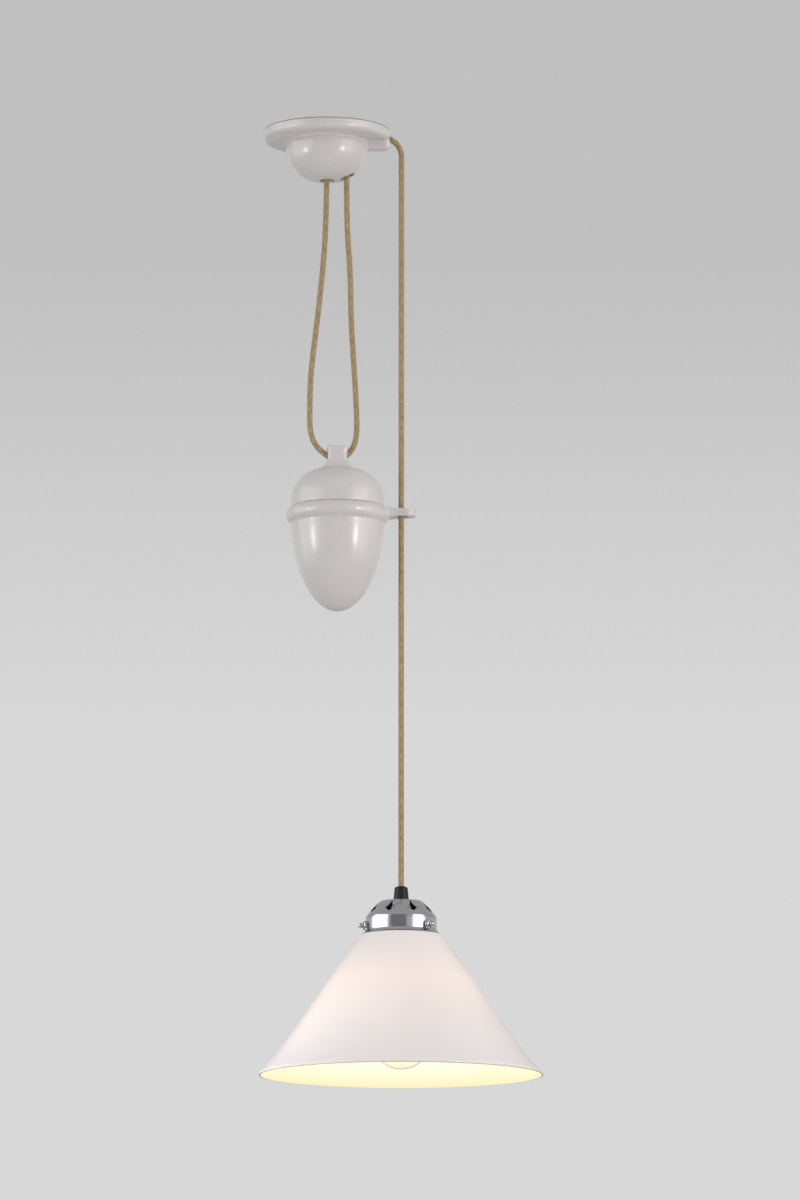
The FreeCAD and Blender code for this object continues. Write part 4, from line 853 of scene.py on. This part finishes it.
rose = spun("cover_glazed", rose_outline())
duct = slab((DOME_R / 2, -DUCT_HALF, DUCT_FLOOR), (DUCT_END, DUCT_HALF, -DUCT_SUNK))
round_edges(duct, DUCT_ROUND, degrees=40, segments=8)
combine(rose, duct, "UNION")
combine(rose, spun("hollow", rose_hollow()))
duct_half = DUCT_HALF - DUCT_WALL
combine(rose, slab((DOME_R / 2, -duct_half, DUCT_FLOOR + DUCT_WALL),
                   (DUCT_END - DUCT_WALL, duct_half, WALL - RIM_H + CLEAR)))
holes = [rod((x, 0, ROSE_LOW - CLEAR), (x, 0, -RIM_H), STRAND_HOLE_R) for x in STRAND_HOLES]
holes.append(rod((ROSE_R - 2 * WALL, 0, EXIT_HEIGHT), (ROSE_R + CLEAR, 0, EXIT_HEIGHT),
                 EXIT_HOLE_R))
combine(rose, joined(holes))
glaze(rose)
dress(rose, "rose", "porcelain", "rose_cover")
# The rim's unglazed top edge is painted brown as the shadow line against the ceiling.
rose.data.materials.append(moulded("unglazed_edge_painted_shadow", "#8f7f76", "#a3938a", rough=(0.7, 0.9)))
for face in rose.data.polygons:
    if face.center.z / MM > -RIM_SHADOW_LINE:
        face.material_index = 1

# %% [markdown]
# ## Counterweight
# Its upper shell is a dome with a forked neck for the roller. Its lower shell is an egg with a
# raised band, and the band reaches out sideways into an arm, whose eye slides along the lamp's
# flex.

# %% The upper shell
WEIGHT_X = (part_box("weight_cap")[0].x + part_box("weight_cap")[1].x) / 2 / MM
NECK_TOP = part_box("weight_cap")[1].z / MM
CAP_R, CAP_ROUND, CAP_SKIRT, CAP_TOP = 49.6, 36.0, 6.0, -371.4
CORK_GAP = 0.3
CAP_RIM = CAP_TOP - CAP_ROUND - CAP_SKIRT - CORK_GAP
BORE, SPIGOT_LOW, SHELL = 45.5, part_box("weight_cap")[0].z / MM, 7.0
NECK_BASE, NECK_WAIST, NECK_HALF = 17.4, 11.5, 13.5
NECK_WAIST_Z = -357.6
NECK_DEEP, NECK_ROUND, FORK_HALF, FORK_FLOOR = 9.5, 2.2, 4.3, -365.5
NECK_SUNK, FLANK_SAG, CHEEK_SAG = 3.0, 1.6, 0.5  # how deep it is rooted, and how its two arcs sag
PAST_NECK = 30.0


def cap_outline():
    """The dome and its skirt, and back up the inside past the spigot that fits the lower shell."""
    centre = (CAP_R - CAP_ROUND, CAP_TOP - CAP_ROUND)
    outside = [(0, CAP_TOP)] + arc(centre, CAP_ROUND, 90, 0, 24) + [(CAP_R, CAP_RIM)]
    inner_r = CAP_R - SHELL
    inside = [(BORE, CAP_RIM), (BORE, SPIGOT_LOW), (inner_r, SPIGOT_LOW)]
    inside += arc(centre, CAP_ROUND - SHELL, 0, 90, 20) + [(0, CAP_TOP - SHELL)]
    return outside + inside


def neck_outline():
    """Half the neck: its flank runs in to the waist and out again to the rounded top."""
    root, corner = NECK_BASE + CLEAR, (NECK_HALF - NECK_ROUND, NECK_TOP - NECK_ROUND)
    flank = bow((root, CAP_TOP - CLEAR), (NECK_WAIST, NECK_WAIST_Z), FLANK_SAG, 10)
    upper = bow((NECK_WAIST, NECK_WAIST_Z), (NECK_HALF, corner[1]), CHEEK_SAG, 6)
    return ([(0, CAP_TOP - NECK_SUNK), (root, CAP_TOP - NECK_SUNK)] + flank + upper[1:]
            + arc(corner, NECK_ROUND, 0, 90, 5)[1:] + [(0, NECK_TOP)])


def across_neck(half, floor_z):
    """A slab that runs past the neck to both sides and over its top."""
    return slab((WEIGHT_X - PAST_NECK, -half, floor_z),
                (WEIGHT_X + PAST_NECK, half, NECK_TOP + CLEAR))


cap = spun("cap_glazed", cap_outline(), WEIGHT_X)
neck = spun("neck", neck_outline(), WEIGHT_X, 96)
combine(neck, across_neck(NECK_DEEP, CAP_TOP - NECK_SUNK - 2 * CLEAR), "INTERSECT")
combine(cap, neck, "UNION")
combine(cap, across_neck(FORK_HALF, FORK_FLOOR))
glaze(cap)
dress(cap, "counterweight", "porcelain", "weight_cap")

# %% [markdown]
# A thin ring of cork, punched from sheet, lies between the shells, so that glaze never rubs on
# glaze. Its pressed edge bulges by a hair.

# %% The cork ring
RING_IN, RING_OUT, RING_TOP, RING_LOW, RING_BULGE = 46.0, 48.0, -413.5, -414.0, 0.1

ring = spun("ring_cork", [(RING_IN, RING_TOP), (RING_OUT, RING_TOP),
                          (RING_OUT + RING_BULGE, (RING_TOP + RING_LOW) / 2), (RING_OUT, RING_LOW),
                          (RING_IN, RING_LOW), (RING_IN, RING_TOP)], WEIGHT_X)
dress(ring, "counterweight", "cork", "seat_ring")

# %% [markdown]
# The lower shell is cast with its band and arm in one mould. Its egg is half an ellipse, spun. The
# arm starts as a block inside the band, and one of its faces is pushed out in steps, thinner each
# time. A round rod makes its end, and the eye is bored for the flex.

# %% The lower shell's outline
BAND_R, BAND_Z, BODY_R = 55.4, -421.4, 50.3
TOP_GAP, TOP_IN, JOIN_Z, BODY_WALL, EGG_STEPS = 0.1, 0.1, -431.0, 4.5, 40
BODY_TOP, BODY_LOW = CAP_RIM - TOP_GAP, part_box("weight_body")[0].z / MM
UPPER_SAG, LOWER_SAG = 0.9, 0.22 * (BODY_TOP - BAND_Z)


def egg(z, inset=0.0):
    """Radius of the egg at that height."""
    share = (z - BAND_Z) / (BAND_Z - BODY_LOW - inset)
    return (BODY_R - inset) * math.sqrt(max(0, 1 - share**2))


def egg_curve(top, inset):
    """The egg from that height down to its tip."""
    low = BODY_LOW + inset
    turn = math.acos((BAND_Z - top) / (BAND_Z - low))
    heights = [BAND_Z - (BAND_Z - low) * math.cos(a) for a in np.linspace(turn, 0, EGG_STEPS + 1)]
    return [(egg(z, inset), z) for z in heights]


def body_outline():
    """Out to the band's edge, back in below it, and down the egg."""
    upper = bow((BODY_R - TOP_IN, BODY_TOP), (BAND_R, BAND_Z), UPPER_SAG, 8)
    lower = bow((BAND_R, BAND_Z), (egg(JOIN_Z), JOIN_Z), LOWER_SAG, 10)
    return [(0, BODY_TOP)] + upper + lower[1:] + egg_curve(JOIN_Z, 0)[1:]


def body_hollow():
    """What is hollow inside it."""
    inner_r = BODY_R - BODY_WALL
    return [(0, BODY_TOP + CLEAR), (inner_r, BODY_TOP + CLEAR), (inner_r, JOIN_Z),
            *egg_curve(JOIN_Z, BODY_WALL)]


# %% The lower shell with its arm
ARM_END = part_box("weight_body")[1].x / MM
ARM_Z, ARM_HALF, ARM_THICK = BAND_Z + 1.3, 11.0, 4.1
ROOT_HALF, ROOT_THICK, ROOT_LONG = ARM_HALF + 1.8, 5.9, 6.0
# How far from the axis, half as wide and half as thick
ARM_STEPS = ((WEIGHT_X + 54, 12.5, 5.6), (WEIGHT_X + 57, 12.0, 5.1), (WEIGHT_X + 60, 11.6, 4.6),
             (WEIGHT_X + 64, 11.2, 4.3), (WEIGHT_X + 68, ARM_HALF, ARM_THICK),
             (ARM_END - ARM_HALF, ARM_HALF, ARM_THICK))
EYE_X, EYE_R, PAST_EYE = WEIGHT_X + 69.7, 6.0, 9.0


def arm():
    """A flat arm whose root is thicker and wider, and runs into the band."""
    root, wide, tall = WEIGHT_X + BODY_R - BODY_WALL, ROOT_HALF, ROOT_THICK
    here = root + ROOT_LONG
    made = slab((root, -wide, ARM_Z - tall), (here, wide, ARM_Z + tall))
    only(made)
    mode("EDIT")
    bpy.ops.mesh.select_all(action="DESELECT")
    mode("OBJECT")
    for face in made.data.polygons:
        face.select = face.normal.x > 0.9
    mode("EDIT")
    for x, half_wide, half_tall in ARM_STEPS:
        bpy.ops.mesh.extrude_region_move(TRANSFORM_OT_translate={"value": ((x - here) * MM, 0, 0)})
        bpy.ops.transform.resize(value=(1, half_wide / wide, half_tall / tall),
                                 center_override=(x * MM, 0, ARM_Z * MM))
        here, wide, tall = x, half_wide, half_tall
    mode("OBJECT")
    end = rod((here, 0, ARM_Z - tall), (here, 0, ARM_Z + tall), wide, 64)
    combine(made, end, "UNION")
    return made


body = spun("body_glazed", body_outline(), WEIGHT_X)
combine(body, arm(), "UNION")
combine(body, spun("hollow", body_hollow(), WEIGHT_X))
combine(body, rod((EYE_X, 0, BAND_Z - PAST_EYE), (EYE_X, 0, BAND_Z + PAST_EYE), EYE_R))
glaze(body)
dress(body, "counterweight", "porcelain", "weight_body")

# %% [markdown]
# ## Gallery
# The gallery is spun from sheet: a flat top, a cone, a rounding, an upright band and a lip turned
# out over the glass. Eight vents like small bells let the heat out. Each is cut with a prism that
# is drawn on the cone and extruded square through it. The inside is painted black as shade, so the
# vents look black.

# %% The gallery's outline
LAMP_X = (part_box("gallery")[0].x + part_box("gallery")[1].x) / 2 / MM
GALLERY_TOP, GALLERY_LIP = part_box("gallery")[1].z / MM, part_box("gallery")[0].z / MM
SHEET = 1.2
HOLE_R = 5.2
TOP_R, CONE_R, BAND_OUT, LIP_R = 21.6, 35.2, 38.0, 40.9
CONE_DROP, BAND_DROP, BAND_END = 14.1, 20.4, 30.4
CONE_LEAN = math.radians(40)
CONE_SAG, SHOULDER_SAG, LIP_SAG = 0.8, 0.7, -0.5


def gallery_side(inset):
    """The outline from the flat top's edge down to the lip, moved inwards."""
    crest = (TOP_R - inset * math.tan(CONE_LEAN / 2), GALLERY_TOP - inset)
    cone = (CONE_R - inset * math.cos(CONE_LEAN),
            GALLERY_TOP - CONE_DROP - inset * math.sin(CONE_LEAN))
    band = (BAND_OUT - inset, GALLERY_TOP - BAND_DROP)
    low = (BAND_OUT - inset, GALLERY_TOP - BAND_END)
    lip = (LIP_R - inset, GALLERY_LIP)
    return (bow(crest, cone, CONE_SAG, 14) + bow(cone, band, SHOULDER_SAG, 8)[1:]
            + bow(low, lip, LIP_SAG, 6))


outline = ([(HOLE_R, GALLERY_TOP)] + gallery_side(0) + gallery_side(SHEET)[::-1]
           + [(HOLE_R, GALLERY_TOP - SHEET), (HOLE_R, GALLERY_TOP)])
print(len(outline), "points")

# %% The spun gallery and its vents
VENTS, VENT_REACH = 8, 5.0
# The corners of half a vent: how far from the axis, and half its width there
VENT_NEAR, VENT_TOP, VENT_WING = 23.2, (23.6, 0.7), (31.2, 5.6)
VENT_FOOT, VENT_TOE, VENT_FAR, FLANK_BOW = (32.5, 3.1), (34.0, 1.7), 34.5, 1.3
# The cone's outward direction; a face agreeing with it by less than this is painted black as shade
CONE_OUT, CONE_UP = 0.72, 0.69
BRIGHT_ON_CONE, BRIGHT_BELOW = 0.5, -0.45


def vent_cutter(degrees):
    """A prism with the outline of one vent, which stands square to the cone there."""
    side = bow(VENT_TOP, VENT_WING, -FLANK_BOW, 8) + [VENT_FOOT, VENT_TOE]
    half = [(VENT_NEAR, 0)] + side + [(VENT_FAR, 0)]
    ring = half + [(r, -y) for r, y in half[-2:0:-1]]
    fall = CONE_DROP / (CONE_R - TOP_R)
    square = Vector((fall, 0, 1)).normalized()
    turn = Matrix.Rotation(math.radians(degrees), 3, "Z")
    place = Vector((LAMP_X, 0, GALLERY_TOP))
    deselect()
    bpy.ops.mesh.primitive_circle_add(vertices=len(ring), radius=MM, fill_type="NGON")
    made = bpy.context.object
    for vertex, (r, y) in zip(made.data.vertices, ring):
        vertex.co = (place + turn @ (Vector((r, y, (TOP_R - r) * fall)) - VENT_REACH * square)) * MM
    mode("EDIT")
    bpy.ops.mesh.select_all(action="SELECT")
    through = turn @ square * 2 * VENT_REACH * MM
    bpy.ops.mesh.extrude_region_move(TRANSFORM_OT_translate={"value": through})
    close_up()
    return made


gallery = spun("gallery_spun", outline, LAMP_X, 192)
round_edges(gallery, width=0.35, degrees=28)
for n in range(VENTS):
    combine(gallery, vent_cutter((n + 0.5) * 360 / VENTS))
smooth(gallery, 35)
modify(gallery, "WEIGHTED_NORMAL", keep_sharp=True, weight=80)
dress(gallery, "lamp", "spun_aluminium", "gallery")
# The inside is painted black as shade.
gallery.data.materials.append(moulded("gallery_inside_painted_shade", "#0b0b0d", "#121214", rough=(0.6, 0.8)))
for face in gallery.data.polygons:
    spoke = face.center.xy / MM - Vector((LAMP_X, 0))
    outwards = Vector((*(spoke.normalized() * CONE_OUT), CONE_UP))
    on_cone = VENT_NEAR < spoke.length < VENT_FAR + CLEAR
    if face.normal.dot(outwards) < (BRIGHT_ON_CONE if on_cone else BRIGHT_BELOW):
        face.material_index = 1

# %% [markdown]
# Three thumbscrews hold the glass by its neck. Each is a turned pin with a ball for the fingers, in
# a round boss on the band. They are turned upright, like everything here, and then laid over.

# %% Bosses and thumbscrews
THUMB_Z = GALLERY_TOP - 27.4
THUMB_ANGLES = (-43.0, -163.0, 77.0)
BOSS_R, BOSS_FOOT, BOSS_END, BORE_R = 4.8, 37.2, 42.3, 1.95
BOSS_SIDE, BOSS_LIP, BOSS_SAG, BOSS_CUT = 1.2, 0.5, -1.3, 0.3
BALL_R, BALL_OUT, PIN_R, PIN_NECK, PIN_TIP = 2.8, 44.5, 1.9, 1.3, 33.7
PIN_BEVEL, PIN_SHORT = 0.4, 0.2


def laid_out(piece, degrees):
    """Lays a piece that was turned about the upright axis along the spoke at that angle."""
    piece.rotation_euler = (0, math.radians(90), math.radians(degrees))
    piece.location = (LAMP_X * MM, 0, THUMB_Z * MM)
    only(piece)
    bpy.ops.object.transform_apply()
    smooth(piece, 35)
    return piece


def boss_outline():
    """A short side, a dome, and the bore inside."""
    dome = bow((BOSS_R, BOSS_FOOT + BOSS_SIDE), (BORE_R + BOSS_LIP, BOSS_END), BOSS_SAG, 10)
    return ([(BORE_R, BOSS_FOOT), (BOSS_R, BOSS_FOOT)] + dome
            + [(BORE_R, BOSS_END - BOSS_CUT), (BORE_R, BOSS_FOOT)])


def screw_outline():
    """The pin from its bevelled tip, and the ball on its thin neck."""
    neck_angle = 180 - math.degrees(math.asin(PIN_NECK / BALL_R))
    ball = [(BALL_R * math.sin(math.radians(a)), BALL_OUT + BALL_R * math.cos(math.radians(a)))
            for a in np.linspace(neck_angle, 0, 21)]
    return [(0, PIN_TIP), (PIN_R - PIN_BEVEL, PIN_TIP), (PIN_R, PIN_TIP + PIN_BEVEL),
            (PIN_R, BOSS_END - PIN_SHORT), (PIN_NECK, BOSS_END)] + ball


bosses = joined([laid_out(spun("bosses_turned", boss_outline(), 0, 48), angle)
                 for angle in THUMB_ANGLES])
dress(bosses, "lamp", "spun_aluminium", "screw_bosses")
for number, angle in enumerate(THUMB_ANGLES, 1):
    screw = laid_out(spun(f"thumbscrew_{number}", screw_outline(), 0, 48), angle)
    dress(screw, f"thumbscrew_{number}", "spun_aluminium", f"gallery_screw_{number}")

# %% [markdown]
# ## Grip, shade and bulb
# A black moulded grip holds the flex over the gallery, so that no pull reaches the terminals.

# %% The moulded grip
GRIP_TOP, GRIP_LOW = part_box("cord_grip")[1].z / MM, GALLERY_TOP + 0.05
GRIP_BORE = 3.15
FROM_TOP = ((GRIP_BORE, 0), (4.4, 0), (7.0, -1.3))
FROM_FOOT = ((8.15, 2.2), (8.35, 1.6), (8.35, 0), (GRIP_BORE, 0))

outline = ([(r, GRIP_TOP + z) for r, z in FROM_TOP] + [(r, GRIP_LOW + z) for r, z in FROM_FOOT]
           + [(GRIP_BORE, GRIP_TOP)])
grip = spun("grip_moulded", outline, LAMP_X, 96)
round_edges(grip, width=0.45, degrees=14)
smooth(grip, 40)
dress(grip, "lamp", "grip_plastic", "cord_grip")

# %% [markdown]
# The shade is blown in a mould and ground off at its rim. Its neck has a bead that the thumbscrews
# catch under, and its cone flares slightly. The inside has its own finish, and the ground edge its
# own, painted darker as a shade line.

# %% The shade's outline
SHADE_TOP, SHADE_RIM = shade_high.z / MM, shade_low.z / MM
RIM_R, RIM_LIFT = (shade_high.x - shade_low.x) / 2 / MM - 0.15, 1.95
GLASS, GLASS_CORNER = 2.5, 1.0
BEAD_R, BEAD_H, BEAD_IN, BEAD_SAG = 35.9, 3.4, 1.0, 1.2
SHADE_NECK, NECK_GAP, NECK_FILLET = 33.4, 0.4, 2.6
SHOULDER_Z = GALLERY_LIP - 0.5
SHOULDER_IN, SHOULDER_OUT, SHOULDER_FALL, TOP_SAG, RIM_SAG = 2.0, 1.6, 2.3, 0.5, 0.9
SLOPE, CONE_TOP_R, CONE_END_R = 0.696, 42.7, 121.0
CONE_END_Z = SHOULDER_Z - (CONE_END_R - CONE_TOP_R) / SLOPE


def glass_side(inset):
    """The cone's end and the flare down to the rim, moved inwards."""
    lean = math.atan(SLOPE)
    chord = (RIM_R - CONE_END_R, SHADE_RIM + RIM_LIFT - CONE_END_Z)
    swing = math.atan2(chord[0], -chord[1]) - lean
    sag = math.hypot(*chord) / 2 * math.tan(swing / 2)
    ends = []
    for (r, z), angle in (((CONE_END_R, CONE_END_Z), lean),
                          ((CONE_END_R + chord[0], CONE_END_Z + chord[1]), lean + 2 * swing)):
        ends.append((r - inset * math.cos(angle), z - inset * math.sin(angle)))
    return bow(ends[0], ends[1], -sag, 12)


def shade_outline():
    """Bead, neck, shoulder and cone, round the rim, and up the inside."""
    flare, inner_flare = glass_side(0), glass_side(GLASS)
    bead = bow((BEAD_R - BEAD_IN, SHADE_TOP), (BEAD_R - BEAD_IN, SHADE_TOP - BEAD_H), BEAD_SAG, 8)
    neck = [(SHADE_NECK, SHADE_TOP - BEAD_H - NECK_GAP)]
    fillet = arc((SHADE_NECK + NECK_FILLET, SHOULDER_Z + NECK_FILLET), NECK_FILLET, 180, 270, 6)
    top = bow((CONE_TOP_R - SHOULDER_IN, SHOULDER_Z),
              (CONE_TOP_R + SHOULDER_OUT, SHOULDER_Z - SHOULDER_FALL), TOP_SAG, 5)
    rim = bow(flare[-1], inner_flare[-1], RIM_SAG, 6)
    inner_z, inner_neck = SHOULDER_Z - GLASS, SHADE_NECK - GLASS
    inner_top = (inner_flare[0][0] - (inner_z - inner_flare[0][1]) * SLOPE, inner_z)
    return ([(inner_neck, SHADE_TOP)] + bead + neck + fillet + top + flare + rim[1:-1]
            + inner_flare[::-1] + [inner_top, (inner_neck + GLASS_CORNER, inner_z),
                                   (inner_neck, inner_z + GLASS_CORNER), (inner_neck, SHADE_TOP)])


print(len(shade_outline()), "points")

# %% The opal shade
EDGE_HEIGHT, EDGE_DOWN = 2.6, -0.80  # the ground edge lies below this height and faces down

shade = spun("shade_opal", shade_outline(), LAMP_X, 256)
smooth(shade, 50)
dress(shade, "lamp", "opal_glass", "shade")
shade.data.materials.append(opal_glass_inside(shade_low.z))
# The ground edge of the rim is matt, bare glass, painted darker as a shade line along the rim.
shade.data.materials.append(patchy("ground_edge_painted_shade", 0.6 * MM, "#b3a49b", "#c5b8af",
                                   depth=0.02 * MM, IOR=1.5, Roughness=0.5))
for face in shade.data.polygons:
    spoke = face.center.xy / MM - Vector((LAMP_X, 0))
    if face.center.z / MM < SHADE_RIM + EDGE_HEIGHT and face.normal.z < EDGE_DOWN:
        face.material_index = 2
    elif face.normal.xy.dot(spoke) < 0 and face.center.z / MM < SHOULDER_Z:
        face.material_index = 1

# %% [markdown]
# The bulb's glass is blown, a globe on a straight neck. It is one spun skin, thickened inwards.

# %% The bulb
BULB_LOW, BULB_TOP = (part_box("bulb_glass")[i].z / MM for i in (0, 1))
BULB_R = (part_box("bulb_glass")[1].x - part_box("bulb_glass")[0].x) / 2 / MM
BULB_NECK, BULB_GLASS = 12.5, 0.8
BULB_NECK_LOW, NECK_TURN, NECK_SPREAD = BULB_TOP - 14, 4.0, 0.6


def bulb_outline():
    """The neck, and the globe down to its tip."""
    centre = BULB_LOW + BULB_R
    span = math.hypot(BULB_NECK, BULB_NECK_LOW - centre)
    lean = math.degrees(math.asin(BULB_R / span) - math.atan2(BULB_NECK, BULB_NECK_LOW - centre))
    return ([(BULB_NECK, BULB_TOP), (BULB_NECK, BULB_NECK_LOW + NECK_TURN),
             (BULB_NECK + NECK_SPREAD, BULB_NECK_LOW)] + arc((0, centre), BULB_R, lean, -90, 28))


bulb = spun("bulb_envelope", bulb_outline(), LAMP_X, 96)
modify(bulb, "SOLIDIFY", thickness=BULB_GLASS * MM, offset=-1)
smooth(bulb, 40)
dress(bulb, "lamp", "clear_glass", "bulb_glass")
